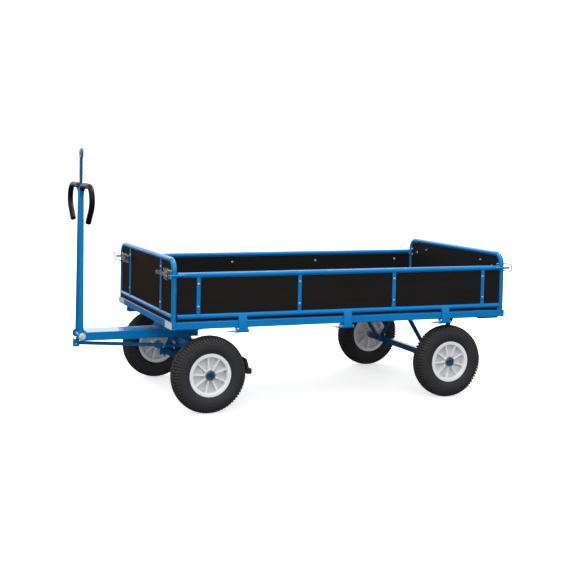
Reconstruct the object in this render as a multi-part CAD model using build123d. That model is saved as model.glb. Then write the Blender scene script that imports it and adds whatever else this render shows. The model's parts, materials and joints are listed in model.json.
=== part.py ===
"""Four-wheel hand cart with turntable steering, drop sides, lift-out end walls and a drawbar brake.

Millimetres, +Z up. X runs along the cart with the drawbar at -X, and the left side is at -Y.
Everything is drawn about the middle of the platform and moved by ORIGIN_SHIFT when it is written,
so that the written origin lies on the floor under the middle of the whole cart.
"""
import os
from math import cos, radians, sin

from build123d import *

# Platform
PLATFORM_L = 2000.0
PLATFORM_W = 1050.0
RAIL_TOP = 488.0
RAIL_H = 38.0
END_RAIL_D = 30.0
SIDE_RAIL_W = 40.0
SECTION_WALL = 3.0
SECTION_ROUND = 4.5
BEAM_Y = 325.0
BEAM_W = 50.0
BEAM_H = 25.0
BEAM_CAP_T = 4.0
DECK_T = 15.0
DECK_GAP = 1.0
CROSS_W = 40.0
CROSS_X = (-900.0, -450.0, 0.0, 450.0, 900.0)
BEARER_OFFSET = 115.0
REFLECTOR_L = 110.0
REFLECTOR_T = 2.0
REFLECTOR_EDGE = 2.0
LASHING_X = (837.0, 973.0)
LASHING_Y = 500.0
LASHING_DROP = 3.0
LASHING_W = 20.0
LASHING_T = 6.0

# Wall tubes and boards
TUBE_R = 13.45
TUBE_WALL = 2.3
WELD_GAP = 0.05
BOARD_T = 12.0
BOARD_EDGE = 0.55
BAR_W = 20.0
BAR_T = 5.0
SILL_Z = 515.0

# Drop sides
SIDE_Y = 510.0
SIDE_TOP_Z = 730.0
SIDE_HALF_L = 968.0
SIDE_BAR_X = (-854.75, -284.35, 284.35, 854.75)
STUD_R = 6.0
STUD_TIP_X = 1023.0
STUD_ROOT_X = 930.0

# Hinges of the drop sides
HINGE_X = (-610.6, 0.0, 610.6)
PIN_Y = 522.5
PIN_Z = 432.0
PIN_R = 5.0
RUNNING_FIT = 0.05
KNUCKLE_R = 9.0
STRAP_W = 48.0
STRAP_T = 5.0
STRAP_BEND_Z = 493.0
STRAP_TOP_Z = 513.0
KNUCKLE_GAP = 1.0
LUG_FRONT_L = 12.0
LUG_REAR_L = 8.0
LUG_WEB_IN = 0.5
BRACKET_PLATE = (490.0, 519.0)
BRACKET_PLATE_T = 4.0
PIN_HEAD_R = 8.0
PIN_HEAD_T = 5.0
PIN_NOSE_L = 50.0
PIN_NOSE_TIP_R = 3.0

# End walls
POST_X = 985.0
POST_Y = 508.0
HOOP_Z = 806.0
HOOP_BEND = 57.0
WALL_BAR_Y = 305.0
SPIGOT_R = 10.0
SPIGOT_L = 33.0
SPIGOT_HOLE_R = 10.5
SPIGOT_PLUG_L = 12.0

# Toggle latches: REST_OPEN is how far the lever stands open at rest, BAIL_REST how far its loop leans out
LATCH_Z = 730.0
LATCH_BASE_Y = (345.0, 490.0)
LATCH_BASE_H = 50.0
LATCH_BASE_T = 3.0
LEVER_X = 1004.0
LEVER_Y = 440.0
LEVER_L = 124.0
LEVER_T = 9.0
LEVER_H = 20.0
LEVER_PIN_R = 3.0
EAR_T = 5.0
EAR_GAP = 1.5
BAIL_PIVOT = (10.0, -15.0)
BAIL_L = 116.0
BAIL_HALF_H = 20.0
WIRE_R = 2.5
REST_OPEN = 7.0
BAIL_REST = 7.0

# Wheels and axles
FRONT_AXLE_X = -781.5
REAR_AXLE_X = 653.5
WHEEL_Y = 480.0
TYRE_R = 204.0
TYRE_W = 100.0
TREAD_HALF = 43.0
SHOULDER_R = 190.5
BELLY_R = 154.0
BEAD_R = 103.0
BEAD_HALF = 32.0
LUG_COUNT = 36
LUG_GROOVE = 7.0
LUG_DEPTH = 4.0
LUG_REACH = 40.0
LUG_SLANT = 40.0
FLANGE_R = 114.5
FLANGE_HALF = 39.5
BARREL_R = 95.0
WEB_HALF = 6.0
RIB_COUNT = 9
RIB_T = 7.0
FRONT_RIB_TURN = -17.0
REAR_RIB_TURN = -24.0
HUB_R = 30.0
HUB_IN = 40.0
HUB_OUT = 35.0
STUB_R = 15.0
BUSH_R = 19.0
AXLE_SQUARE = 35.0
AXLE_HALF_L = 420.0
STUB_END_Y = 524.0
COLLAR_R = 23.0
STRUT_R = 12.5
STRUT_Y = 313.0
STRUT_FOOT_X = (-23.0, 23.0)
STRUT_TOP_X = (-150.0, 135.0)

# Turntable and draw arm
RING_R = 150.0
RING_HOLE_R = 110.0
RING_H = 20.0
RING_GAP = 1.0
RACE_R = 130.0
BALL_R = 5.0
BALL_GROOVE_R = 5.4
BALL_COUNT = 20
TABLE_T = 8.0
TABLE_R = 156.0
ARM_TOP = 380.0
ARM_BOTTOM = 334.0
ARM_W = 145.0
ARM_T = 5.0
ARM_REAR_X = -700.0
ARM_PLATE_X = -1334.0
BOLSTER_D = 50.0
BOLSTER_H = 44.0
BOLSTER_HALF_L = 258.0
LEG_Y = 250.0
LEG_T = 10.0
LEG_FOOT_Z = 176.0
LEG_FOOT_W = 84.0

# Drawbar
PIVOT_X = -1360.0
PIVOT_Z = 357.0
PIVOT_BOLT_R = 8.0
PIVOT_TUBE_R = 15.0
PIVOT_TUBE_HALF = 62.0
BOLT_HALF_L = 89.0
NUT_AF = 24.0
NUT_H = 13.0
WASHER_R = 20.0
WASHER_T = 3.0
LEG_SPREAD = 42.5
NECK_SPREAD = 12.2
HORN_TOP_Z = 1172.0
HORN_CORNER_Y = 365.0
HORN_END = (187.0, 984.0)
NECK_BEND = 65.0
HORN_BEND = 75.0
GRIP_R = 15.5
GRIP_CAP_T = 4.0
EYE_R = 28.5
EYE_HOLE_R = 14.5
EYE_T = 12.0
EYE_Z = 1344.5
STEM_R = 8.5
STEM_FOOT_Z = 1122.0

# Brake
LEVER_ARM = 46.0
LEVER_LEAN = 28.0
LEVER_PLATE_T = 12.0
LEVER_PLATE_W = 16.0
CRANK_PIN_R = 5.0
CRANK_PIN_HALF = 15.0
YOKE_INNER = 8.0
YOKE_OUTER = 14.0
YOKE_TOP = 338.0
YOKE_BASE = (294.0, 302.0)
YOKE_SLOT_Z = 305.0
YOKE_SLOT = (-5.7, 10.2)
YOKE_FRONT_T = 5.0
YOKE_REAR_T = 9.5
YOKE_WEB_T = 5.0
YOKE_WEB_TOP = 325.0
ROD_R = 10.0
ROD_FRONT_Z = 315.0
ROD_REAR_Z = 257.0
ROD_LUG_HALF_W = 12.0
ROD_LUG_TOP_Z = 275.0
NUT_ON_ROD_X = -592.0
NUT_ON_ROD_L = 20.0
NUT_ON_ROD_AF = 30.0
BRAKE_BAR = 30.0
BRAKE_BAR_FRONT_X = -574.0
BRAKE_BAR_TOP = 227.0
BRAKE_BAR_HALF_L = 496.0
BRAKE_CAP_T = 4.0
GUIDE_ROD_R = 8.0
GUIDE_ROD_Y = 200.0
GUIDE_ROD_FRONT_X = -870.0
GUIDE_BLOCK = 30.0
SHOE_GAP = 1.5
SHOE_T = 11.5
SHOE_TOP_Z = 283.0
SHOE_Y = (445.0, 515.0)
ROD_GUIDE_X = -880.0
ROD_GUIDE_T = 6.0
ROD_GUIDE_HOLE_R = 10.9
ROD_GUIDE_RISE = 6.0
ROD_GUIDE_FOOT_W = 32.0
ROD_GUIDE_FLANGE_Z = (318.0, 364.0)

# Levels that follow from the sizes above
RAIL_BOTTOM = RAIL_TOP - RAIL_H
BEAM_BOTTOM = RAIL_BOTTOM - BEAM_H
END_FACE_X = PLATFORM_L / 2
SIDE_FACE_Y = PLATFORM_W / 2
YOKE_FRONT_X = (PIVOT_X - LEVER_ARM * sin(radians(LEVER_LEAN))) + YOKE_SLOT[0] - YOKE_FRONT_T
BAIL_OPEN_X = (
    LEVER_X
    + BAIL_PIVOT[0] * cos(radians(REST_OPEN))
    - BAIL_PIVOT[1] * sin(radians(REST_OPEN))
    + BAIL_L * sin(radians(BAIL_REST))
    + WIRE_R
)
LEVER_TIP_X = LEVER_X + LEVER_L * sin(radians(REST_OPEN)) + LEVER_T * cos(radians(REST_OPEN))
ORIGIN_SHIFT = -(YOKE_FRONT_X + max(BAIL_OPEN_X, LEVER_TIP_X)) / 2


def block(x, y, z):
    """A box between (low, high) pairs on the three axes."""
    centre = Pos((x[0] + x[1]) / 2, (y[0] + y[1]) / 2, (z[0] + z[1]) / 2)
    return centre * Box(abs(x[1] - x[0]), abs(y[1] - y[0]), abs(z[1] - z[0]))


def rod(start, end, radius, bore=0.0):
    """A round bar from start to end, or a tube where a bore radius is given."""
    way = Vector(*end) - Vector(*start)
    section = Circle(radius)
    if bore:
        section -= Circle(bore)
    return extrude(Plane(origin=start, z_dir=way) * section, way.length)


def box_tube(start, end, x_dir, width, height, wall):
    """A rectangular hollow section with rounded corners from start to end, its width along x_dir."""
    way = Vector(*end) - Vector(*start)
    section = RectangleRounded(width, height, SECTION_ROUND)
    section -= RectangleRounded(width - 2 * wall, height - 2 * wall, SECTION_ROUND / 3)
    return extrude(Plane(origin=start, x_dir=x_dir, z_dir=way) * section, way.length)


def upright_plate(outline, y):
    """A sketch drawn in X and Z, made a plate between two Y values."""
    return extrude(Plane(origin=(0, y[1], 0), x_dir=(1, 0, 0), z_dir=(0, -1, 0)) * outline, y[1] - y[0])


def other_side(shape):
    """The same piece on the other long side of the cart."""
    return mirror(shape, about=Plane.XZ)


def other_end(shape):
    """The same piece at the other end of the platform."""
    return mirror(shape, about=Plane.YZ)


def both_sides(shape):
    """A piece and its twin across the cart's long middle plane."""
    return [shape, other_side(shape)]


def save(node, *pieces):
    """Write the solids of one named piece, moved to the cart's own origin."""
    solids = [solid for piece in pieces for solid in piece.solids()]
    export_step(Pos(ORIGIN_SHIFT, 0, 0) * Compound(solids), f"parts/{node}.step")


def make_platform():
    """Rails, beams, cross members, deck, caps, reflectors and lashing bars."""
    rail_z = (RAIL_TOP + RAIL_BOTTOM) / 2
    end_rail = block((END_FACE_X - END_RAIL_D, END_FACE_X), (-SIDE_FACE_Y, SIDE_FACE_Y), (RAIL_BOTTOM, RAIL_TOP))
    outer_edges = end_rail.edges().filter_by(Axis.Y).group_by(Axis.X)[-1]
    end_rail = fillet(outer_edges, SECTION_ROUND)
    end_rail -= block(
        (END_FACE_X - END_RAIL_D + SECTION_WALL, END_FACE_X - SECTION_WALL),
        (SECTION_WALL - SIDE_FACE_Y, SIDE_FACE_Y - SECTION_WALL),
        (RAIL_BOTTOM + SECTION_WALL, RAIL_TOP - SECTION_WALL),
    )
    for hole in both_sides(rod((POST_X, POST_Y, RAIL_TOP - 2 * SECTION_WALL), (POST_X, POST_Y, RAIL_TOP), SPIGOT_HOLE_R)):
        end_rail -= hole
    side_end_x = END_FACE_X - END_RAIL_D
    side_mid_y = SIDE_FACE_Y - SIDE_RAIL_W / 2
    side_rail = box_tube(
        (-side_end_x, side_mid_y, rail_z), (side_end_x, side_mid_y, rail_z), (0, 1, 0), SIDE_RAIL_W, RAIL_H, SECTION_WALL
    )
    save("chassis_rails", end_rail, other_end(end_rail), *both_sides(side_rail))

    beam_end_x = END_FACE_X - BEAM_CAP_T
    beam_z = (RAIL_BOTTOM + BEAM_BOTTOM) / 2
    beam = box_tube(
        (-beam_end_x, BEAM_Y, beam_z), (beam_end_x, BEAM_Y, beam_z), (0, 1, 0), BEAM_W, BEAM_H, SECTION_WALL
    )
    save("chassis_beams", *both_sides(beam))
    beam_y = (BEAM_Y - BEAM_W / 2, BEAM_Y + BEAM_W / 2)
    cap = block((beam_end_x, END_FACE_X), beam_y, (BEAM_BOTTOM, RAIL_BOTTOM))
    cap = fillet(cap.edges().filter_by(Axis.X), SECTION_ROUND)
    save("beam_end_caps", *both_sides(cap), *both_sides(other_end(cap)))

    deck_bottom = RAIL_TOP - DECK_T
    inner_y = SIDE_FACE_Y - SIDE_RAIL_W
    cross_z = (deck_bottom + RAIL_BOTTOM) / 2
    cross_h = deck_bottom - RAIL_BOTTOM
    members = [
        box_tube((x, -inner_y, cross_z), (x, inner_y, cross_z), (1, 0, 0), CROSS_W, cross_h, SECTION_WALL)
        for x in CROSS_X
    ]
    for x in (FRONT_AXLE_X - BEARER_OFFSET, FRONT_AXLE_X + BEARER_OFFSET):
        members.append(
            box_tube((x, -beam_y[0], beam_z), (x, beam_y[0], beam_z), (1, 0, 0), CROSS_W, BEAM_H, SECTION_WALL)
        )
    save("cross_members", *members)

    deck_x = side_end_x - DECK_GAP
    deck_y = inner_y - DECK_GAP
    save("deck_board", block((-deck_x, deck_x), (-deck_y, deck_y), (deck_bottom, RAIL_TOP)))

    reflector = block(
        (-END_FACE_X - REFLECTOR_T, -END_FACE_X),
        (SIDE_FACE_Y - REFLECTOR_L, SIDE_FACE_Y),
        (RAIL_BOTTOM + REFLECTOR_EDGE, RAIL_TOP - REFLECTOR_EDGE),
    )
    save("front_reflectors", *both_sides(reflector))

    lashing_z = (RAIL_BOTTOM - LASHING_DROP - LASHING_T, RAIL_BOTTOM - LASHING_DROP)
    lashing_y = (LASHING_Y - LASHING_W / 2, LASHING_Y + LASHING_W / 2)
    lashing = block(LASHING_X, lashing_y, lashing_z)
    lashing = fillet(lashing.edges().filter_by(Axis.Z), LASHING_W / 2 - 1)
    for x in (LASHING_X[0] + LASHING_W / 2, LASHING_X[1] - LASHING_W / 2):
        lashing += rod((x, LASHING_Y, lashing_z[0]), (x, LASHING_Y, RAIL_BOTTOM), LASHING_W / 4)
    save("lashing_bars", *both_sides(lashing))


def make_hinges():
    """Two-lug brackets under the side rails, and their pins with a head and a long tapered nose."""
    brackets = []
    pins = []
    lug_x = STRAP_W / 2 + KNUCKLE_GAP
    lug_web = (PIN_Y - KNUCKLE_R + LUG_WEB_IN, PIN_Y)
    plate_z = (RAIL_BOTTOM - BRACKET_PLATE_T, RAIL_BOTTOM)
    for x in HINGE_X:
        front = (x - lug_x - LUG_FRONT_L, x - lug_x)
        rear = (x + lug_x, x + lug_x + LUG_REAR_L)
        bracket = block((front[0], rear[1]), BRACKET_PLATE, plate_z)
        for lug in (front, rear):
            bracket += rod((lug[0], PIN_Y, PIN_Z), (lug[1], PIN_Y, PIN_Z), KNUCKLE_R)
            bracket += block(lug, lug_web, (PIN_Z, plate_z[1]))
        bracket -= rod((front[0], PIN_Y, PIN_Z), (rear[1], PIN_Y, PIN_Z), PIN_R + RUNNING_FIT)
        brackets += both_sides(bracket)
        pin = rod((front[0], PIN_Y, PIN_Z), (rear[1], PIN_Y, PIN_Z), PIN_R)
        pin += rod((rear[1], PIN_Y, PIN_Z), (rear[1] + PIN_HEAD_T, PIN_Y, PIN_Z), PIN_HEAD_R)
        tip = Plane(origin=(front[0] - PIN_NOSE_L, PIN_Y, PIN_Z), z_dir=(1, 0, 0)) * Circle(PIN_NOSE_TIP_R)
        root = Plane(origin=(front[0], PIN_Y, PIN_Z), z_dir=(1, 0, 0)) * Circle(PIN_HEAD_R)
        pin += loft([tip, root])
        pins += both_sides(pin)
    save("hinge_brackets", *brackets)
    save("hinge_pins", *pins)


def make_side_pieces():
    """One drop side at +Y: frame of two tubes, flat bars and latch studs, board, and hinge straps."""
    bore = TUBE_R - TUBE_WALL
    top = rod((-SIDE_HALF_L, SIDE_Y, SIDE_TOP_Z), (SIDE_HALF_L, SIDE_Y, SIDE_TOP_Z), TUBE_R, bore)
    stud_y = SIDE_Y + TUBE_R + WELD_GAP + STUD_R
    stud = rod((STUD_ROOT_X, stud_y, SIDE_TOP_Z), (STUD_TIP_X, stud_y, SIDE_TOP_Z), STUD_R)
    studs = [stud, other_end(stud)]
    sill = rod((-SIDE_HALF_L, SIDE_Y, SILL_Z), (SIDE_HALF_L, SIDE_Y, SILL_Z), TUBE_R, bore)

    seat = TUBE_R + WELD_GAP
    top_seat = rod((-SIDE_HALF_L, SIDE_Y, SIDE_TOP_Z), (SIDE_HALF_L, SIDE_Y, SIDE_TOP_Z), seat)
    sill_seat = rod((-SIDE_HALF_L, SIDE_Y, SILL_Z), (SIDE_HALF_L, SIDE_Y, SILL_Z), seat)
    board_y = (SIDE_Y - BOARD_T / 2, SIDE_Y + BOARD_T / 2)
    bars = []
    for x in SIDE_BAR_X:
        bar = block((x - BAR_W / 2, x + BAR_W / 2), (board_y[1], board_y[1] + BAR_T), (SILL_Z, SIDE_TOP_Z))
        bars.append(bar - top_seat - sill_seat)
    board_z = (SILL_Z + TUBE_R + BOARD_EDGE, SIDE_TOP_Z - TUBE_R - BOARD_EDGE)
    board = block((-SIDE_HALF_L, SIDE_HALF_L), board_y, board_z)

    outer = PIN_Y + KNUCKLE_R
    inner = outer - STRAP_T
    tip = SIDE_Y + TUBE_R
    straps = []
    for x in HINGE_X:
        flank = Plane(origin=(x - STRAP_W / 2, 0, 0), x_dir=(0, 1, 0), z_dir=(1, 0, 0))
        outline = Polyline(
            (inner, PIN_Z),
            (outer, PIN_Z),
            (outer, STRAP_BEND_Z),
            (tip + 1, STRAP_TOP_Z),
            (tip - STRAP_T, STRAP_TOP_Z - STRAP_T),
            (inner, STRAP_BEND_Z - STRAP_T / 2),
            close=True,
        )
        strap = extrude(flank * make_face(outline), STRAP_W)
        strap += rod((x - STRAP_W / 2, PIN_Y, PIN_Z), (x + STRAP_W / 2, PIN_Y, PIN_Z), KNUCKLE_R)
        strap -= rod((x - STRAP_W / 2, PIN_Y, PIN_Z), (x + STRAP_W / 2, PIN_Y, PIN_Z), PIN_R + RUNNING_FIT)
        straps.append(strap - sill_seat)
    return [top, sill, *bars, *studs], [board], straps


def make_sides():
    """The two drop sides."""
    frame, board, straps = make_side_pieces()
    for name, pieces in (("frame", frame), ("board", board), ("straps", straps)):
        save(f"right_side_{name}", *pieces)
        save(f"left_side_{name}", *[other_side(piece) for piece in pieces])


def make_wall_pieces():
    """One end wall at +X: bent hoop with spigots, sill tube, flat bars, and the board they hold."""
    bore = TUBE_R - TUBE_WALL
    route = FilletPolyline(
        (POST_X, -POST_Y, RAIL_TOP),
        (POST_X, -POST_Y, HOOP_Z),
        (POST_X, POST_Y, HOOP_Z),
        (POST_X, POST_Y, RAIL_TOP),
        radius=HOOP_BEND,
    )
    start = Plane(origin=(POST_X, -POST_Y, RAIL_TOP), z_dir=(0, 0, 1))
    hoop = sweep(start * (Circle(TUBE_R) - Circle(bore)), path=route)
    for y in (-POST_Y, POST_Y):
        hoop += rod((POST_X, y, RAIL_TOP), (POST_X, y, RAIL_TOP + SPIGOT_PLUG_L), bore)
        hoop += rod((POST_X, y, RAIL_TOP - SPIGOT_L), (POST_X, y, RAIL_TOP), SPIGOT_R)

    seat = TUBE_R + WELD_GAP
    sill = rod((POST_X, -POST_Y, SILL_Z), (POST_X, POST_Y, SILL_Z), TUBE_R, bore)
    for y in (-POST_Y, POST_Y):
        sill -= rod((POST_X, y, RAIL_TOP), (POST_X, y, SILL_Z + 2 * TUBE_R), seat)
    sill_seat = rod((POST_X, -POST_Y, SILL_Z), (POST_X, POST_Y, SILL_Z), seat)
    hoop_seat = rod((POST_X, -POST_Y, HOOP_Z), (POST_X, POST_Y, HOOP_Z), seat)
    face_x = POST_X + BOARD_T / 2
    bars = []
    for y in (-WALL_BAR_Y, WALL_BAR_Y):
        bar = block((face_x, face_x + BAR_T), (y - BAR_W / 2, y + BAR_W / 2), (SILL_Z, HOOP_Z))
        bars.append(bar - sill_seat - hoop_seat)

    edge = TUBE_R + BOARD_EDGE
    board = block((face_x - BOARD_T, face_x), (edge - POST_Y, POST_Y - edge), (SILL_Z + edge, HOOP_Z - edge))
    upper = board.edges().filter_by(Axis.X).group_by(Axis.Z)[-1]
    board = fillet(upper, HOOP_BEND - edge)
    return [hoop, sill, *bars], [board]


def make_latch_pieces():
    """One toggle latch at +X and +Y: plate, bracket of two ears and a pin, lever, and wire loop, at rest."""
    face_x = POST_X + BOARD_T / 2
    plate_x = (face_x, face_x + LATCH_BASE_T)
    plate_z = (LATCH_Z - LATCH_BASE_H / 2, LATCH_Z + LATCH_BASE_H / 2)
    plate = block(plate_x, LATCH_BASE_Y, plate_z)
    plate = fillet(plate.edges().filter_by(Axis.X), LATCH_BASE_T * 2)
    ear_z = LEVER_H / 2 + EAR_GAP
    ear_r = LEVER_X - plate_x[1] - EAR_GAP * 2
    pin_half = ear_z + EAR_T
    bracket = rod((LEVER_X, LEVER_Y, LATCH_Z - pin_half), (LEVER_X, LEVER_Y, LATCH_Z + pin_half), LEVER_PIN_R)
    for low in (LATCH_Z - pin_half, LATCH_Z + ear_z):
        bracket += extrude(Plane(origin=(LEVER_X, LEVER_Y, low)) * Circle(ear_r), EAR_T)
        bracket += block((plate_x[1], LEVER_X), (LEVER_Y - ear_r, LEVER_Y + ear_r), (low, low + EAR_T))

    hub_r = ear_r - 1
    pivot = (LEVER_X + BAIL_PIVOT[0], LEVER_Y + BAIL_PIVOT[1])
    foot = Plane(origin=(0, 0, LATCH_Z - LEVER_H / 2))
    lever = foot * Pos(LEVER_X, LEVER_Y) * Circle(hub_r)
    lever += foot * make_face(
        Polyline(
            (LEVER_X - hub_r / 2, LEVER_Y - hub_r / 2),
            (LEVER_X + hub_r, LEVER_Y),
            (pivot[0] + WIRE_R * 2, pivot[1]),
            (pivot[0], pivot[1] - WIRE_R * 6),
            (LEVER_X + LEVER_T / 2, LEVER_Y - LEVER_L * 0.6),
            (LEVER_X + LEVER_T, LEVER_Y - LEVER_L),
            (LEVER_X + LEVER_T / 2, LEVER_Y - LEVER_L),
            (LEVER_X - 1, LEVER_Y - LEVER_L * 0.6),
            close=True,
        )
    )
    lever = extrude(lever, LEVER_H)
    full = (LATCH_Z - LEVER_H, LATCH_Z + LEVER_H)
    lever -= rod((LEVER_X, LEVER_Y, full[0]), (LEVER_X, LEVER_Y, full[1]), LEVER_PIN_R + RUNNING_FIT)
    lever -= rod((*pivot, full[0]), (*pivot, full[1]), WIRE_R + RUNNING_FIT)

    end_y = pivot[1] + BAIL_L
    low = LATCH_Z - BAIL_HALF_H
    high = LATCH_Z + BAIL_HALF_H
    route = FilletPolyline(
        (pivot[0], pivot[1], LATCH_Z - 1),
        (pivot[0], pivot[1], low),
        (pivot[0], end_y, low),
        (pivot[0], end_y, high),
        (pivot[0], pivot[1], high),
        (pivot[0], pivot[1], LATCH_Z + 1),
        radius=WIRE_R * 1.6,
    )
    start = Plane(origin=(pivot[0], pivot[1], LATCH_Z - 1), z_dir=(0, 0, -1))
    bail = sweep(start * Circle(WIRE_R), path=route)

    lean = Axis((*pivot, LATCH_Z), (0, 0, 1))
    swing = Axis((LEVER_X, LEVER_Y, LATCH_Z), (0, 0, 1))
    bail = bail.rotate(lean, -(REST_OPEN + BAIL_REST))
    return [plate, bracket], lever.rotate(swing, REST_OPEN), bail.rotate(swing, REST_OPEN)


def make_walls():
    """The two end walls with their latches."""
    frame, board = make_wall_pieces()
    base, lever, loop = make_latch_pieces()
    bases = [*base, *[other_side(piece) for piece in base]]
    wall = {"wall_frame": frame, "wall_board": board, "latch_bases": bases}
    for name, pieces in wall.items():
        save(f"rear_{name}", *pieces)
        save(f"front_{name}", *[other_end(piece) for piece in pieces])
    for name, piece in (("latch_lever", lever), ("latch_loop", loop)):
        save(f"rear_right_{name}", piece)
        save(f"rear_left_{name}", other_side(piece))
        save(f"front_right_{name}", other_end(piece))
        save(f"front_left_{name}", other_side(other_end(piece)))


def make_tyre():
    """A pneumatic tyre about the Y axis, with block lugs cut across both shoulders."""
    belly = TYRE_W / 2
    flank_r = (BEAD_R + BELLY_R) / 2
    side = [
        Line((BEAD_R, BEAD_HALF), (FLANGE_R, BEAD_HALF + 2.5)),
        ThreePointArc((FLANGE_R, BEAD_HALF + 2.5), (flank_r + 3, belly - 3.5), (BELLY_R, belly)),
        ThreePointArc((BELLY_R, belly), ((BELLY_R + SHOULDER_R) / 2 + 3, belly - 1.5), (SHOULDER_R, TREAD_HALF)),
    ]
    crown = ThreePointArc((SHOULDER_R, TREAD_HALF), (TYRE_R, 0), (SHOULDER_R, -TREAD_HALF))
    inner = Line((BEAD_R, BEAD_HALF), (BEAD_R, -BEAD_HALF))
    outline = [*side, crown, *[mirror(edge, about=Plane.XZ) for edge in side], inner]
    tyre = revolve(make_face(outline), Axis.Y)
    shoulder = Pos(SHOULDER_R, TREAD_HALF, 0) * Rot(0, 0, LUG_SLANT)
    groove = shoulder * Box(2 * LUG_DEPTH, LUG_REACH, LUG_GROOVE)
    step = 360 / LUG_COUNT
    grooves = []
    for i in range(LUG_COUNT):
        grooves.append(Rot(0, i * step, 0) * groove)
        grooves.append(Rot(0, (i + 0.5) * step, 0) * other_side(groove))
    return tyre - grooves


def make_rim():
    """A moulded rim about the Y axis: barrel with flanges, web, hub, and ribs on both faces."""
    bore = BUSH_R + RUNNING_FIT
    seat = BEAD_R - 0.3
    outline = Polyline(
        (bore, -HUB_IN),
        (HUB_R, -HUB_IN),
        (HUB_R, -WEB_HALF),
        (BARREL_R, -WEB_HALF),
        (BARREL_R, 3 - FLANGE_HALF),
        (BARREL_R + 3, -FLANGE_HALF),
        (FLANGE_R, -FLANGE_HALF),
        (FLANGE_R, 3.5 - FLANGE_HALF),
        (seat, -BEAD_HALF - 0.6),
        (seat, BEAD_HALF + 0.6),
        (FLANGE_R, FLANGE_HALF - 3.5),
        (FLANGE_R, FLANGE_HALF),
        (BARREL_R + 3, FLANGE_HALF),
        (BARREL_R, FLANGE_HALF - 3),
        (BARREL_R, WEB_HALF),
        (HUB_R, WEB_HALF),
        (HUB_R, HUB_OUT),
        (bore, HUB_OUT),
        close=True,
    )
    rim = revolve(make_face(outline), Axis.Y)
    rib_outline = Polyline(
        (HUB_R - 2, 0),
        (BARREL_R + 1, 0),
        (BARREL_R + 1, FLANGE_HALF - 12),
        (HUB_R - 2, HUB_OUT - 3),
        close=True,
    )
    rib = extrude(make_face(rib_outline), RIB_T / 2, both=True)
    ribs = []
    for i in range(RIB_COUNT):
        ribs.append(Rot(0, i * 360 / RIB_COUNT, 0) * rib)
        ribs.append(Rot(0, i * 360 / RIB_COUNT, 0) * other_side(rib))
    return rim + ribs


def make_wheels():
    """Four wheels, each a tyre and a rim."""
    tyre = Pos(0, WHEEL_Y, TYRE_R) * make_tyre()
    plain_rim = make_rim()
    for end, x, turn in (("front", FRONT_AXLE_X, FRONT_RIB_TURN), ("rear", REAR_AXLE_X, REAR_RIB_TURN)):
        rim = Pos(x, WHEEL_Y, TYRE_R) * Rot(0, turn, 0) * plain_rim
        save(f"{end}_right_tyre", Pos(x, 0, 0) * tyre)
        save(f"{end}_right_rim", rim)
        save(f"{end}_left_tyre", Pos(x, 0, 0) * other_side(tyre))
        save(f"{end}_left_rim", other_side(rim))


def make_axle(x):
    """A square axle with round stubs."""
    half = AXLE_SQUARE / 2
    axle = block((x - half, x + half), (-AXLE_HALF_L, AXLE_HALF_L), (TYRE_R - half, TYRE_R + half))
    for stub in both_sides(rod((x, AXLE_HALF_L, TYRE_R), (x, STUB_END_Y, TYRE_R), STUB_R)):
        axle += stub
    return axle


def make_axle_fittings(end, x):
    """Bushes on the stubs, and the collars that keep a wheel in place."""
    bore = STUB_R + RUNNING_FIT
    hub_y = (WHEEL_Y - HUB_IN, WHEEL_Y + HUB_OUT)
    bush = rod((x, hub_y[0] + 1, TYRE_R), (x, hub_y[1] - 1, TYRE_R), BUSH_R, bore)
    inner = rod((x, AXLE_HALF_L, TYRE_R), (x, hub_y[0] - 1, TYRE_R), COLLAR_R, bore)
    outer = rod((x, hub_y[1] + 1, TYRE_R), (x, hub_y[1] + 6, TYRE_R), COLLAR_R, bore)
    save(f"{end}_wheel_bushes", *both_sides(bush))
    save(f"{end}_axle_collars", *both_sides(inner), *both_sides(outer))


def make_rear_axle():
    """The fixed rear axle, hung on two V-shaped pairs of struts."""
    axle = make_axle(REAR_AXLE_X)
    save("rear_axle", axle)
    half = AXLE_SQUARE / 2
    axle_top = TYRE_R + half
    reach = STRUT_R * 2
    strut_y = (STRUT_Y - STRUT_R, STRUT_Y + STRUT_R)
    bay = block((0, END_FACE_X), strut_y, (TYRE_R - half, BEAM_BOTTOM))
    bay -= block((REAR_AXLE_X - half, REAR_AXLE_X + half), strut_y, (TYRE_R - half, axle_top))
    struts = []
    for foot, top in zip(STRUT_FOOT_X, STRUT_TOP_X):
        lean = (top - foot) / (BEAM_BOTTOM - axle_top)
        low = (REAR_AXLE_X + foot - lean * reach, STRUT_Y, axle_top - reach)
        high = (REAR_AXLE_X + top + lean * reach, STRUT_Y, BEAM_BOTTOM + reach)
        struts += both_sides(rod(low, high, STRUT_R, STRUT_R - TUBE_WALL) & bay)
    save("rear_struts", *struts)
    make_axle_fittings("rear", REAR_AXLE_X)


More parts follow.
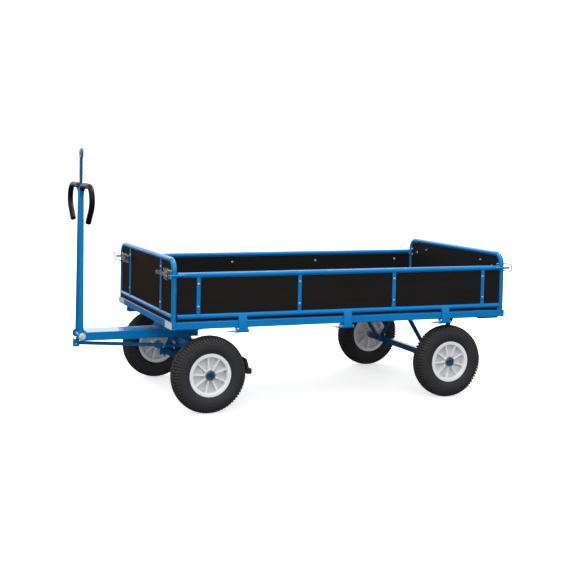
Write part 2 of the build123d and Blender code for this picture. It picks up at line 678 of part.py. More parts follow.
def make_turntable():
    """Upper ring under the platform, lower ring on its table plate, and the balls between them."""
    upper_z = BEAM_BOTTOM - RING_H
    lower_z = ARM_TOP + TABLE_T
    ring = Circle(RING_R) - Circle(RING_HOLE_R)
    race_z = upper_z - RING_GAP / 2
    race = Pos(FRONT_AXLE_X, 0, race_z) * Torus(RACE_R, BALL_GROOVE_R)
    upper = extrude(Plane(origin=(FRONT_AXLE_X, 0, upper_z)) * ring, RING_H)
    save("turntable_upper_ring", upper - race)
    lower = extrude(Plane(origin=(FRONT_AXLE_X, 0, lower_z)) * ring, upper_z - RING_GAP - lower_z)
    lower += extrude(Plane(origin=(FRONT_AXLE_X, 0, ARM_TOP)) * (Circle(TABLE_R) - Circle(RING_HOLE_R / 2)), TABLE_T)
    save("turntable_lower_ring", lower - race)
    balls = []
    for i in range(BALL_COUNT):
        turn = Rot(0, 0, i * 360 / BALL_COUNT)
        balls.append(Pos(FRONT_AXLE_X, 0, race_z) * turn * Pos(RACE_R, 0, 0) * Sphere(BALL_R))
    save("turntable_balls", *balls)


def make_bogie():
    """Draw arm, bolster on its two legs, front axle with guide blocks, pivot bolt and rod guide."""
    mid_y = ARM_W / 2 - ARM_T
    nose_r = (ARM_TOP - ARM_BOTTOM) / 2
    cheek = Pos((PIVOT_X + ARM_REAR_X) / 2, PIVOT_Z) * Rectangle(ARM_REAR_X - PIVOT_X, ARM_TOP - ARM_BOTTOM)
    cheek += Pos(PIVOT_X, PIVOT_Z) * Circle(nose_r)
    cheek -= Pos(PIVOT_X, PIVOT_Z) * Circle(PIVOT_BOLT_R + RUNNING_FIT)
    flank = upright_plate(cheek, (mid_y, ARM_W / 2))
    arm = block((ARM_PLATE_X, ARM_REAR_X), (-ARM_W / 2, ARM_W / 2), (ARM_TOP - ARM_T, ARM_TOP))
    for wall in both_sides(flank):
        arm += wall
    arm += block((ARM_REAR_X - ARM_T, ARM_REAR_X), (-mid_y, mid_y), (ARM_BOTTOM, ARM_TOP))
    save("draw_arm", arm)

    bolster_z = ARM_BOTTOM - BOLSTER_H / 2
    bolster = box_tube(
        (FRONT_AXLE_X, -BOLSTER_HALF_L, bolster_z),
        (FRONT_AXLE_X, BOLSTER_HALF_L, bolster_z),
        (1, 0, 0),
        BOLSTER_D,
        BOLSTER_H,
        SECTION_WALL + 1,
    )
    leg_top = ARM_BOTTOM - BOLSTER_H
    outline = Polyline(
        (FRONT_AXLE_X - LEG_FOOT_W / 2, LEG_FOOT_Z),
        (FRONT_AXLE_X + LEG_FOOT_W / 2, LEG_FOOT_Z),
        (FRONT_AXLE_X + LEG_FOOT_W / 2, TYRE_R),
        (FRONT_AXLE_X + BOLSTER_D / 2, leg_top),
        (FRONT_AXLE_X - BOLSTER_D / 2, leg_top),
        (FRONT_AXLE_X - LEG_FOOT_W / 2, TYRE_R),
        close=True,
    )
    hole = Pos(FRONT_AXLE_X, TYRE_R) * Rectangle(AXLE_SQUARE + 2 * WELD_GAP, AXLE_SQUARE + 2 * WELD_GAP)
    leg = upright_plate(make_face(outline) - hole, (LEG_Y - LEG_T / 2, LEG_Y + LEG_T / 2))
    save("bolster", bolster, *both_sides(leg))

    axle = make_axle(FRONT_AXLE_X)
    half = AXLE_SQUARE / 2
    guide_z = BRAKE_BAR_TOP + GUIDE_ROD_R
    for y in (-GUIDE_ROD_Y, GUIDE_ROD_Y):
        axle += block(
            (FRONT_AXLE_X - half, FRONT_AXLE_X + half),
            (y - GUIDE_BLOCK / 2, y + GUIDE_BLOCK / 2),
            (TYRE_R + half, guide_z + GUIDE_BLOCK / 2),
        )
        axle -= rod(
            (FRONT_AXLE_X - half, y, guide_z), (FRONT_AXLE_X + half, y, guide_z), GUIDE_ROD_R + RUNNING_FIT
        )
    save("front_axle", axle)
    make_axle_fittings("front", FRONT_AXLE_X)

    bolt = rod((PIVOT_X, -BOLT_HALF_L, PIVOT_Z), (PIVOT_X, BOLT_HALF_L, PIVOT_Z), PIVOT_BOLT_R)
    face_y = ARM_W / 2
    washer = rod((PIVOT_X, face_y, PIVOT_Z), (PIVOT_X, face_y + WASHER_T, PIVOT_Z), WASHER_R)
    nut_plane = Plane(origin=(PIVOT_X, face_y + WASHER_T, PIVOT_Z), x_dir=(1, 0, 0), z_dir=(0, 1, 0))
    washer += extrude(nut_plane * RegularPolygon(NUT_AF / 2, 6, major_radius=False), NUT_H)
    for end in both_sides(washer):
        bolt += end
    save("drawbar_pivot_bolt", bolt)

    rod_z = rod_height(ROD_GUIDE_X)
    outline = Polyline(
        (-ROD_GUIDE_FOOT_W / 2, rod_z),
        (-mid_y, ROD_GUIDE_FLANGE_Z[0]),
        (-mid_y, ROD_GUIDE_FLANGE_Z[1]),
        (mid_y, ROD_GUIDE_FLANGE_Z[1]),
        (mid_y, ROD_GUIDE_FLANGE_Z[0]),
        (ROD_GUIDE_FOOT_W / 2, rod_z),
        close=True,
    )
    guide = make_face(outline) + Pos(0, rod_z) * Circle(ROD_GUIDE_FOOT_W / 2)
    slot = Rot(0, 0, 90) * SlotCenterToCenter(ROD_GUIDE_RISE, 2 * ROD_GUIDE_HOLE_R)
    guide -= Pos(0, rod_z + ROD_GUIDE_RISE / 2) * slot
    plate = Plane(origin=(ROD_GUIDE_X - ROD_GUIDE_T / 2, 0, 0), x_dir=(0, 1, 0), z_dir=(1, 0, 0))
    save("brake_rod_guide", extrude(plate * guide, ROD_GUIDE_T))


def rod_height(x):
    """Height of the sloping brake rod's axis at x."""
    front_x = YOKE_FRONT_X
    return ROD_FRONT_Z + (ROD_REAR_Z - ROD_FRONT_Z) * (x - front_x) / (BRAKE_BAR_FRONT_X - front_x)


def make_drawbar():
    """A-frame of two bent tubes with ram's-horn grips, towing eye, and pivot tube with brake crank."""
    bore = TUBE_R - TUBE_WALL
    route = FilletPolyline(
        (PIVOT_X, LEG_SPREAD, PIVOT_Z),
        (PIVOT_X, NECK_SPREAD, HORN_TOP_Z),
        (PIVOT_X, HORN_CORNER_Y, HORN_TOP_Z),
        (PIVOT_X, *HORN_END),
        radius=[NECK_BEND, HORN_BEND],
    )
    start = Plane(origin=route @ 0, z_dir=route % 0)
    leg = sweep(start * (Circle(TUBE_R) - Circle(bore)), path=route)
    hub_seat = rod(
        (PIVOT_X, -PIVOT_TUBE_HALF, PIVOT_Z), (PIVOT_X, PIVOT_TUBE_HALF, PIVOT_Z), PIVOT_TUBE_R + WELD_GAP
    )
    leg -= hub_seat
    save("drawbar_tubes", *both_sides(leg))

    runs = route.edges().sort_by(route)
    grip_route = Wire([runs[1].trim(0.5, 1), *runs[2:]])
    start = Plane(origin=grip_route @ 0, z_dir=grip_route % 0)
    grip = sweep(start * (Circle(GRIP_R) - Circle(TUBE_R + WELD_GAP)), path=grip_route)
    end = Plane(origin=grip_route @ 1, z_dir=grip_route % 1)
    grip += extrude(end * Circle(GRIP_R), GRIP_CAP_T)
    save("handle_grips", *both_sides(grip))

    neck = sweep(Plane(origin=route @ 0, z_dir=route % 0) * Circle(TUBE_R + WELD_GAP), path=route)
    eye = rod((PIVOT_X - EYE_T / 2, 0, EYE_Z), (PIVOT_X + EYE_T / 2, 0, EYE_Z), EYE_R)
    eye = fillet(eye.edges(), EYE_T / 5)
    eye += rod((PIVOT_X, 0, STEM_FOOT_Z), (PIVOT_X, 0, EYE_Z - (EYE_R + EYE_HOLE_R) / 2), STEM_R)
    eye -= rod((PIVOT_X - EYE_T, 0, EYE_Z), (PIVOT_X + EYE_T, 0, EYE_Z), EYE_HOLE_R)
    for side in both_sides(neck):
        eye -= side
    save("towing_eye", eye.solids().sort_by(SortBy.VOLUME)[-1])

    crank_x = -LEVER_ARM * sin(radians(LEVER_LEAN))
    crank_z = -LEVER_ARM * cos(radians(LEVER_LEAN))
    crank = Pos(PIVOT_X, PIVOT_Z) * Rot(0, 0, 270 - LEVER_LEAN) * Pos(LEVER_ARM / 2, 0)
    plate = upright_plate(
        crank * SlotCenterToCenter(LEVER_ARM, LEVER_PLATE_W), (-LEVER_PLATE_T / 2, LEVER_PLATE_T / 2)
    )
    hub = rod((PIVOT_X, -PIVOT_TUBE_HALF, PIVOT_Z), (PIVOT_X, PIVOT_TUBE_HALF, PIVOT_Z), PIVOT_TUBE_R)
    hub += plate
    hub += rod(
        (PIVOT_X + crank_x, -CRANK_PIN_HALF, PIVOT_Z + crank_z),
        (PIVOT_X + crank_x, CRANK_PIN_HALF, PIVOT_Z + crank_z),
        CRANK_PIN_R,
    )
    hub -= rod(
        (PIVOT_X, -PIVOT_TUBE_HALF, PIVOT_Z), (PIVOT_X, PIVOT_TUBE_HALF, PIVOT_Z), PIVOT_BOLT_R + RUNNING_FIT
    )
    save("drawbar_pivot_tube", hub)


def make_brake():
    """Brake rod with its slotted yoke and adjusting nut, cross bar with guide rods, shoes and caps."""
    pin_x = PIVOT_X - LEVER_ARM * sin(radians(LEVER_LEAN))
    slot_x = (pin_x + YOKE_SLOT[0], pin_x + YOKE_SLOT[1])
    rear_x = slot_x[1] + YOKE_REAR_T
    prong = block((YOKE_FRONT_X, rear_x), (YOKE_INNER, YOKE_OUTER), (YOKE_BASE[0], YOKE_TOP))
    prong -= block(slot_x, (YOKE_INNER, YOKE_OUTER), (YOKE_SLOT_Z, YOKE_TOP))
    yoke = block((YOKE_FRONT_X, rear_x), (-YOKE_INNER, YOKE_INNER), YOKE_BASE)
    for side in both_sides(prong):
        yoke += side
    yoke += block((rear_x - YOKE_WEB_T, rear_x), (-YOKE_OUTER, YOKE_OUTER), (YOKE_BASE[0], YOKE_WEB_TOP))
    shaft = rod(
        (rear_x - YOKE_WEB_T, 0, rod_height(rear_x - YOKE_WEB_T)),
        (BRAKE_BAR_FRONT_X + ROD_R, 0, rod_height(BRAKE_BAR_FRONT_X + ROD_R)),
        ROD_R,
    )
    shaft &= block((rear_x - YOKE_WEB_T, BRAKE_BAR_FRONT_X), (-ROD_R, ROD_R), (0, YOKE_TOP))
    slope = Vector(1, 0, (ROD_REAR_Z - ROD_FRONT_Z) / (BRAKE_BAR_FRONT_X - YOKE_FRONT_X))
    nut_plane = Plane(origin=(NUT_ON_ROD_X, 0, rod_height(NUT_ON_ROD_X)), x_dir=(0, 1, 0), z_dir=slope)
    nut = extrude(nut_plane * RegularPolygon(NUT_ON_ROD_AF / 2, 6, major_radius=False), NUT_ON_ROD_L / 2, both=True)
    save("brake_rod", yoke + shaft + nut)

    bar_x = (BRAKE_BAR_FRONT_X, BRAKE_BAR_FRONT_X + BRAKE_BAR)
    bar_z = (BRAKE_BAR_TOP - BRAKE_BAR, BRAKE_BAR_TOP)
    mid_x = sum(bar_x) / 2
    mid_z = sum(bar_z) / 2
    bar = box_tube(
        (mid_x, -BRAKE_BAR_HALF_L, mid_z), (mid_x, BRAKE_BAR_HALF_L, mid_z), (1, 0, 0), BRAKE_BAR, BRAKE_BAR, SECTION_WALL
    )
    guide_z = BRAKE_BAR_TOP + GUIDE_ROD_R
    guide = rod((GUIDE_ROD_FRONT_X, GUIDE_ROD_Y, guide_z), (bar_x[1], GUIDE_ROD_Y, guide_z), GUIDE_ROD_R)
    guide += block(bar_x, (GUIDE_ROD_Y - GUIDE_ROD_R, GUIDE_ROD_Y + GUIDE_ROD_R), (BRAKE_BAR_TOP, guide_z))
    lug = block(bar_x, (-ROD_LUG_HALF_W, ROD_LUG_HALF_W), (BRAKE_BAR_TOP, ROD_LUG_TOP_Z))
    lug = fillet(lug.edges().filter_by(Axis.X).group_by(Axis.Z)[-1], ROD_LUG_HALF_W / 2)
    save("brake_bar", bar, lug, *both_sides(guide))
    cap = block(bar_x, (BRAKE_BAR_HALF_L, BRAKE_BAR_HALF_L + BRAKE_CAP_T), bar_z)
    cap = fillet(cap.edges().filter_by(Axis.Y), SECTION_ROUND)
    save("brake_bar_caps", *both_sides(cap))

    shoe_r = TYRE_R + SHOE_GAP
    shoe = Pos(FRONT_AXLE_X, TYRE_R) * (Circle(shoe_r + SHOE_T) - Circle(shoe_r))
    shoe &= Pos(bar_x[0], (BRAKE_BAR_TOP + SHOE_TOP_Z) / 2) * Rectangle(2 * BRAKE_BAR, SHOE_TOP_Z - BRAKE_BAR_TOP)
    save("brake_shoes", *both_sides(upright_plate(shoe, SHOE_Y)))


os.makedirs("parts", exist_ok=True)
make_platform()
make_hinges()
make_sides()
make_walls()
make_wheels()
make_rear_axle()
make_turntable()
make_bogie()
make_drawbar()
make_brake()
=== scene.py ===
"""Looks of a four-wheel hand cart with drop sides, turntable steering and a drawbar brake.

Metres, +Z up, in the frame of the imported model: the drawbar is at -X and the left side at -Y.
"""
import json
from functools import partial
from math import cos, pi, radians, sin, tau

import bmesh
import bpy
from bpy.props import FloatProperty, FloatVectorProperty, IntProperty, PointerProperty
from bpy.types import Operator, Panel, PropertyGroup
from mathutils import Matrix, Vector

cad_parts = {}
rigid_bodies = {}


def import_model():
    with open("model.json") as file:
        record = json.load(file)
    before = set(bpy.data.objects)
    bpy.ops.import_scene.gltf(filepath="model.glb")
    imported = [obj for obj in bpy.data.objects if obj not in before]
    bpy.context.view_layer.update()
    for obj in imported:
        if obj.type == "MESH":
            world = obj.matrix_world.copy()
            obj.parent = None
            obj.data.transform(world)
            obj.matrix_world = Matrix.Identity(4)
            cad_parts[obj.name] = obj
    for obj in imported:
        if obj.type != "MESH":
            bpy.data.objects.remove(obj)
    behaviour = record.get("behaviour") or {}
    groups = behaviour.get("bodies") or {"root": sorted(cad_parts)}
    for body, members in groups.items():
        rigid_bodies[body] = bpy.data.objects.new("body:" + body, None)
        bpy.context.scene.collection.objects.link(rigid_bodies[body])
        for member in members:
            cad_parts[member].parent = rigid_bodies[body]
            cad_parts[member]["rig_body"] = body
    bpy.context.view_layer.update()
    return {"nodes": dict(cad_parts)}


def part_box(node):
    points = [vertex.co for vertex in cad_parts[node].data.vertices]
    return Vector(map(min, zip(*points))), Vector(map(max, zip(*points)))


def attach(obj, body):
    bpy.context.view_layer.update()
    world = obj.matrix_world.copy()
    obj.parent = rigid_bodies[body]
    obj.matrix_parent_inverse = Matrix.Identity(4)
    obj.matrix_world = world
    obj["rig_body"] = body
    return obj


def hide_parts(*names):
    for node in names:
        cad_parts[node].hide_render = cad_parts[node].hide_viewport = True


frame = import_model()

bl_info = {
    "name": "Hand Cart",
    "version": (1, 0, 0),
    "blender": (4, 5, 0),
    "location": "View3D > Sidebar > Hand Cart",
    "description": "Dresses the packed hand cart with finishes, tyres, rims, fasteners and a stage",
    "category": "Object",
}

MM = 0.001
ENDS = ("front", "rear")
SIDES = ("left", "right")
CORNERS = [(end, side) for end in ENDS for side in SIDES]
SIDE_SIGN = {"left": -1.0, "right": 1.0}
# The bodies that carry a board, and which way each faces.
OUTWARD = {
    "left_side": Vector((0.0, -1.0, 0.0)),
    "right_side": Vector((0.0, 1.0, 0.0)),
    "front_wall": Vector((-1.0, 0.0, 0.0)),
    "rear_wall": Vector((1.0, 0.0, 0.0)),
}
MERGE_DISTANCE = 2e-6
FLAT_ANGLE = radians(0.2)
SHARP_ANGLE = radians(33)
BEVEL_ANGLE = radians(38)


def colour_setting(label, about, *shares):
    """A colour that a user may change, from its red, green and blue."""
    return FloatVectorProperty(
        name=label, description=about, subtype="COLOR", size=4, default=(*shares, 1.0), min=0, max=1
    )


def length_setting(label, about, metres):
    """A length that a user may change."""
    return FloatProperty(name=label, description=about, default=metres, unit="LENGTH")


def angle_setting(label, about, degrees):
    """An angle that a user may change."""
    return FloatProperty(name=label, description=about, default=radians(degrees), subtype="ANGLE")


def power_setting(label, about, watts):
    """A light's power that a user may change."""
    return FloatProperty(name=label, description=about, default=watts, unit="POWER")


class CartColours(PropertyGroup):
    """Colours of the finishes."""

    blue: colour_setting("Blue paint", "Powder coat of the steelwork", 0.0010, 0.200, 0.545)
    board: colour_setting("Board film", "Dark film on the plywood boards", 0.0140, 0.0132, 0.0128)
    # The front wall's browner film is partly a browner film and partly painted light: the warm tone of its
    # lit face taken into the colour.
    wall_board: colour_setting(
        "Wall board film", "Browner film on the front wall's board", 0.0175, 0.0088, 0.0030
    )
    rubber: colour_setting("Tyre rubber", "Rubber of tyres and brake shoes", 0.0220, 0.0224, 0.0265)
    rim: colour_setting("Rim plastic", "Moulded plastic of the rims", 0.90, 0.91, 0.925)
    zinc: colour_setting("Zinc", "Zinc plating of the latches", 0.56, 0.54, 0.505)
    bolt: colour_setting("Bolt zinc", "Bluish zinc plating of bolts, nuts and screws", 0.56, 0.62, 0.68)
    steel: colour_setting("Bright steel", "Bare turned steel", 0.46, 0.46, 0.47)
    black: colour_setting("Black plastic", "End caps and grips", 0.012, 0.012, 0.013)
    bush: colour_setting("Bush plastic", "Wheel bushes", 0.45, 0.43, 0.38)
    reflector: colour_setting("Reflector", "Reflecting sheet on the front rail", 0.92, 0.93, 0.94)


class CartWheelSizes(PropertyGroup):
    """Sizes of tyres and rims."""

    lug_count: IntProperty(
        name="Lugs", description="Lugs round each row of the tread", default=72, min=12, max=96
    )
    lug_height: length_setting("Lug height", "Height of a lug over the casing", 0.0060)
    lug_width: length_setting("Lug width", "Width of a lug round the tyre", 0.0095)
    rib_count: IntProperty(name="Ribs", description="Ribs on each face of a rim", default=9, min=3, max=24)
    rib_width: length_setting("Rib width", "Thickness of a rim's rib", 0.0075)
    turn_steps: IntProperty(
        name="Steps", description="Steps of a turned shape", default=120, min=24, max=240
    )


class CartFittingSizes(PropertyGroup):
    """Sizes of bolts, nuts, screws and welds."""

    dome_radius: length_setting("Dome head", "Radius of a dome head", 0.0072)
    dome_height: length_setting("Dome height", "Height of a dome head", 0.0038)
    hex_radius: length_setting("Hexagon", "Corner radius of a hexagon nut", 0.0064)
    hex_height: length_setting("Hexagon height", "Height of a hexagon nut", 0.0050)
    washer_radius: length_setting("Washer", "Radius of a washer", 0.0080)
    washer_height: length_setting("Washer height", "Height of a washer", 0.0016)
    screw_radius: length_setting("Screw", "Radius of a deck screw's head", 0.0065)
    weld_radius: length_setting("Weld", "Radius of a weld bead", 0.0032)
    weld_step: length_setting("Weld step", "Step of the ripples of a weld", 0.0028)


class CartStageSettings(PropertyGroup):
    """Camera and light."""

    camera_place: FloatVectorProperty(
        name="Camera", description="Where the camera stands, from the floor under the platform's middle",
        subtype="TRANSLATION", unit="LENGTH", default=(-2.65446, -5.74469, 1.36848),
    )
    yaw: angle_setting("Yaw", "Turn of the view to the right", 20.27)
    pitch: angle_setting("Pitch", "Tilt of the view down", 2.73)
    roll: angle_setting("Roll", "Roll of the camera", 1.02)
    lens: FloatProperty(
        name="Lens", description="Focal length in millimetres", default=67.41, min=10, max=300
    )
    shift_x: FloatProperty(name="Shift X", description="Sideways shift of the frame", default=0.1112)
    shift_y: FloatProperty(name="Shift Y", description="Upward shift of the frame", default=-0.1479)
    world_light: FloatProperty(name="Surround", description="Light from all round", default=0.80, min=0)
    top_light: power_setting("Top light", "Power of the overhead panel", 210.0)
    key_light: power_setting("Key light", "Power of the panel beside the camera", 95.0)
    low_light: power_setting("Low light", "Power of the low panel beside the camera", 44.0)
    rim_light: power_setting("Rim light", "Power of the high panel behind the cart", 190.0)
    back_light: power_setting("Back light", "Power of the wide panel behind the cart", 92.0)
    front_light: power_setting("Front light", "Power of the panel at the drawbar end", 26.0)


class CartSettings(PropertyGroup):
    """All that a user may change."""

    colours: PointerProperty(type=CartColours)
    wheels: PointerProperty(type=CartWheelSizes)
    fittings: PointerProperty(type=CartFittingSizes)
    stage: PointerProperty(type=CartStageSettings)


def settings():
    """The cart's settings in the present scene."""
    return bpy.context.scene.hand_cart


def add_node(tree, kind, choices, sockets):
    """Add a node to a tree, set its choices and a ramp's grey stops, and fill its sockets or link them."""
    made = tree.nodes.new(kind)
    for name, value in choices.items():
        if name != "stops":
            setattr(made, name, value)
            continue
        elements = made.color_ramp.elements
        while len(elements) < len(value):
            elements.new(1.0)
        for element, (position, grey) in zip(elements, value):
            element.position = position
            element.color = (grey, grey, grey, 1.0)
    for name, value in sockets.items():
        if isinstance(value, bpy.types.NodeSocket):
            tree.links.new(value, made.inputs[name])
        else:
            made.inputs[name].default_value = value
    return made


class Wire:
    """A value in a material's tree: operators on it add Math nodes."""

    def __init__(self, finish, socket):
        self.finish = finish
        self.socket = socket

    def math(self, operation, *values):
        return self.finish.node("ShaderNodeMath", {"operation": operation}, dict(enumerate(values)))

    def __add__(self, other):
        return self.math("ADD", self, other)

    def __sub__(self, other):
        return self.math("SUBTRACT", self, other)

    def __rsub__(self, other):
        return self.math("SUBTRACT", other, self)

    def __mul__(self, other):
        return self.math("MULTIPLY", self, other)

    __radd__ = __add__
    __rmul__ = __mul__


class Finish:
    """A material under construction: its shader and the one way to add nodes to it."""

    def __init__(self, name, constants):
        self.material = bpy.data.materials.new(name)
        self.material.use_nodes = True
        self.tree = self.material.node_tree
        self.shader = self.tree.nodes["Principled BSDF"]
        for socket, value in constants.items():
            self.shader.inputs[socket].default_value = value
        self.place = self.node("ShaderNodeTexCoord", {}, {}, "Object")

    def node(self, kind, choices, sockets, output=0):
        """Add a node to the material and give one of its outputs."""
        plain = {name: value.socket if isinstance(value, Wire) else value for name, value in sockets.items()}
        return Wire(self, add_node(self.tree, kind, choices, plain).outputs[output])

    def noise(self, scale, detail=2.0, roughness=0.5, stretch=None):
        """Smooth noise between 0 and 1, features per metre, stretched along the axes."""
        place = self.place
        if stretch:
            place = self.node("ShaderNodeMapping", {}, {"Vector": place, "Scale": stretch})
        return self.node(
            "ShaderNodeTexNoise", {},
            {"Vector": place, "Scale": scale, "Detail": detail, "Roughness": roughness},
        )

    def cells(self, scale, feature="F1", output="Distance", randomness=1.0):
        """Cell pattern, cells per metre, strewn or in a grid."""
        return self.node(
            "ShaderNodeTexVoronoi", {"feature": feature},
            {"Vector": self.place, "Scale": scale, "Randomness": randomness}, output,
        )

    def stored(self, name):
        """A number that the mesh keeps at its points."""
        return self.node("ShaderNodeAttribute", {"attribute_name": name}, {}, "Fac")

    def ramp(self, value, *stops):
        """The value spread over grey stops of (position, shade)."""
        return self.node("ShaderNodeValToRGB", {"stops": stops}, {"Fac": value})

    def blend(self, factor, first, second):
        """A colour between two colours."""
        return self.node("ShaderNodeMix", {"data_type": "RGBA"}, {"Factor": factor, 6: first, 7: second}, 2)

    def tones(self, factor, colour, dark, light):
        """A colour between a darker and a lighter tone of itself."""
        return self.blend(factor, shade(colour, dark), shade(colour, light))

    def feed(self, socket, value):
        """Lead a value to the shader."""
        self.tree.links.new(value.socket, self.shader.inputs[socket])

    def done(self, base, roughness, height, depth, metallic=None, coat=None):
        """Lead the patterns to the shader, the height as a bump, depth in millimetres; give the material."""
        bump = self.node("ShaderNodeBump", {}, {"Height": height, "Strength": 1.0, "Distance": depth * MM})
        fed = {"Base Color": base, "Roughness": roughness, "Metallic": metallic, "Coat Weight": coat}
        for socket, value in fed.items():
            if value is not None:
                self.feed(socket, value)
        self.feed("Normal", bump)
        return self.material


def shade(colour, factor):
    """A colour made lighter or darker."""
    return (*(min(1.0, channel * factor) for channel in colour[:3]), 1.0)


SCUFFED_BLUE = (0.06, 0.24, 0.46, 1.0)
WORN_STUDS = (0.035, 0.027, 0.022, 1.0)
ROAD_DUST = (0.044, 0.038, 0.032, 1.0)
CELL_SEAMS = (0.45, 0.46, 0.48, 1.0)


def powder_coat(name, share):
    """Powder coat at a share of the blue: fine orange peel, slow change of tone, faint scuffs."""
    colour = shade(settings().colours.blue, share)
    finish = Finish(name, {"IOR": 1.26, "Coat Roughness": 0.05, "Coat IOR": 1.4})
    peel = finish.noise(520.0, 3.0)
    tone = finish.noise(3.5, 3.0)
    scuff = finish.ramp(finish.noise(60.0, 6.0, 0.7), (0.62, 0.0), (0.80, 1.0))
    base = finish.blend(scuff * 0.08, finish.tones(tone, colour, 0.90, 1.10), SCUFFED_BLUE)
    return finish.done(base, 0.10 + peel * 0.05 + scuff * 0.05, peel, 0.06, coat=0.36 - scuff * 0.10)


def board_film(name, setting):
    """Dark film on plywood: the veneer's grain telegraphs faintly, over a fine pressed mesh."""
    colour = getattr(settings().colours, setting)
    finish = Finish(name, {"IOR": 1.09})
    grain = finish.noise(26.0, 6.0, 0.6, (0.12, 1.0, 3.0))
    blotch = finish.noise(5.0)
    press = finish.cells(900.0)
    base = finish.blend(blotch * 0.35, finish.tones(grain, colour, 0.70, 1.3), shade(colour, 1.4))
    return finish.done(base, 0.34 + grain * 0.12 + blotch * 0.08, press * 0.5 + grain * 0.5, 0.22)


def deck_film(name):
    """Non-slip side of the board: a pressed grid of small studs."""
    finish = Finish(name, {"IOR": 1.06})
    studs = finish.ramp(finish.cells(210.0, randomness=0.0), (0.25, 1.0), (0.55, 0.0))
    wear = finish.noise(9.0, 5.0, 0.65)
    base = finish.tones(wear, settings().colours.board, 0.75, 1.8)
    return finish.done(finish.blend(studs * 0.25, base, WORN_STUDS), 0.42 + wear * 0.22, studs, 0.5)


def tyre_rubber(name):
    """Rubber: fine grain, grey bloom, and the lugs dusted from the road."""
    colour = settings().colours.rubber
    finish = Finish(name, {"IOR": 1.4})
    grain = finish.noise(1400.0)
    bloom = finish.noise(18.0, 5.0, 0.6)
    dusty = finish.blend(finish.stored("dust") * 0.75, finish.tones(bloom, colour, 0.75, 1.35), ROAD_DUST)
    return finish.done(finish.blend(grain * 0.2, dusty, shade(colour, 2.0)), 0.62 + bloom * 0.20, grain, 0.18)


def rim_plastic(name):
    """Moulded plastic: satin, faint flow marks, and painted shade on the web between the ribs, in grey."""
    colour = settings().colours.rim
    finish = Finish(name, {"IOR": 1.49})
    flow = finish.noise(14.0, 4.0, 0.55)
    grain = finish.noise(900.0)
    unshaded = finish.tones(flow, colour, 0.94, 1.05)
    # The stored share darkens the web towards grey: painted shade.
    base = finish.blend(finish.stored("dust") * 0.9, unshaded, shade(colour, 0.66))
    return finish.done(base, 0.36 + flow * 0.14, grain, 0.08)


def zinc_plate(name):
    """Zinc plating: crystal patches that differ in tone and gloss, duller in drifts."""
    finish = Finish(name, {})
    patch = finish.node("ShaderNodeRGBToBW", {}, {"Color": finish.cells(160.0, output="Color")})
    tone = finish.noise(45.0, 4.0, 0.6)
    drift = finish.ramp(tone, (0.35, 0.0), (0.68, 1.0))
    base = finish.tones(patch * 0.45 + drift * 0.55, settings().colours.zinc, 0.52, 1.25)
    return finish.done(base, 0.14 + patch * 0.14 + drift * 0.10, tone, 0.12, metallic=0.92 + tone * 0.08)


def bolt_zinc(name, metal, share):
    """Bluish zinc of bolts, nuts and screws, with duller blotches."""
    colour = shade(settings().colours.bolt, share)
    finish = Finish(name, {})
    blotch = finish.noise(420.0, 3.0, 0.6)
    base = finish.tones(blotch, colour, 0.74, 1.18)
    return finish.done(base, 0.20 + blotch * 0.16, blotch, 0.03, metallic=metal + blotch * 0.06)


def dark_wire(name):
    """Oiled spring wire of the latch loops, dulled by handling."""
    finish = Finish(name, {"IOR": 1.3})
    drawn = finish.noise(300.0, 4.0, 0.6)
    base = finish.tones(drawn, shade(settings().colours.zinc, 0.10), 0.7, 1.5)
    return finish.done(base, 0.24 + drawn * 0.16, drawn, 0.03, metallic=0.25 + drawn * 0.15)


def turned_steel(name):
    """Bare steel with fine turning marks."""
    finish = Finish(name, {"Metallic": 1.0})
    marks = finish.noise(60.0, 5.0, 0.7, (40.0, 1.0, 1.0))
    stain = finish.noise(30.0, 4.0, 0.6)
    base = finish.tones(stain, settings().colours.steel, 0.78, 1.1)
    return finish.done(base, 0.20 + marks * 0.14 + stain * 0.08, marks, 0.04)


def black_plastic(name):
    """Black moulded caps: fine spark grain."""
    finish = Finish(name, {"IOR": 1.45})
    grain = finish.noise(1100.0)
    tone = finish.noise(40.0, 3.0)
    base = finish.tones(tone, settings().colours.black, 0.7, 1.5)
    return finish.done(base, 0.40 + grain * 0.18, grain, 0.12)


def grip_rubber(name):
    """Soft dipped grips: pebbled skin, rubbed smoother in patches."""
    finish = Finish(name, {"IOR": 1.24})
    pebble = finish.cells(700.0, "SMOOTH_F1")
    rub = finish.noise(22.0, 4.0, 0.6)
    base = finish.tones(rub, settings().colours.black, 0.25, 0.5)
    return finish.done(base, 0.40 - rub * 0.14, pebble, 0.16)


def shoe_rubber(name):
    """Brake shoes: hard rubber with a scored face."""
    finish = Finish(name, {"IOR": 1.45})
    score = finish.noise(70.0, 4.0, 0.6, (1.0, 0.1, 6.0))
    base = finish.tones(score, settings().colours.rubber, 0.6, 1.6)
    return finish.done(base, 0.70 + score * 0.15, score, 0.3)


def bush_plastic(name):
    """Oiled sliding plastic of the bushes."""
    finish = Finish(name, {"IOR": 1.5})
    tone = finish.noise(70.0, 4.0)
    base = finish.tones(tone, settings().colours.bush, 0.8, 1.15)
    return finish.done(base, 0.34 + tone * 0.16, tone, 0.1)


def reflector_sheet(name):
    """White reflecting sheet: small sealed cells under a clear film."""
    finish = Finish(name, {"IOR": 1.5, "Coat Roughness": 0.08})
    seams = finish.ramp(finish.cells(330.0, "DISTANCE_TO_EDGE"), (0.02, 1.0), (0.09, 0.0))
    sheet = finish.tones(finish.noise(25.0, 3.0), settings().colours.reflector, 0.90, 1.06)
    base = finish.blend(seams * 0.35, sheet, CELL_SEAMS)
    return finish.done(base, 0.22 + seams * 0.25, 1 - seams, 0.1, coat=0.5 - seams * 0.2)


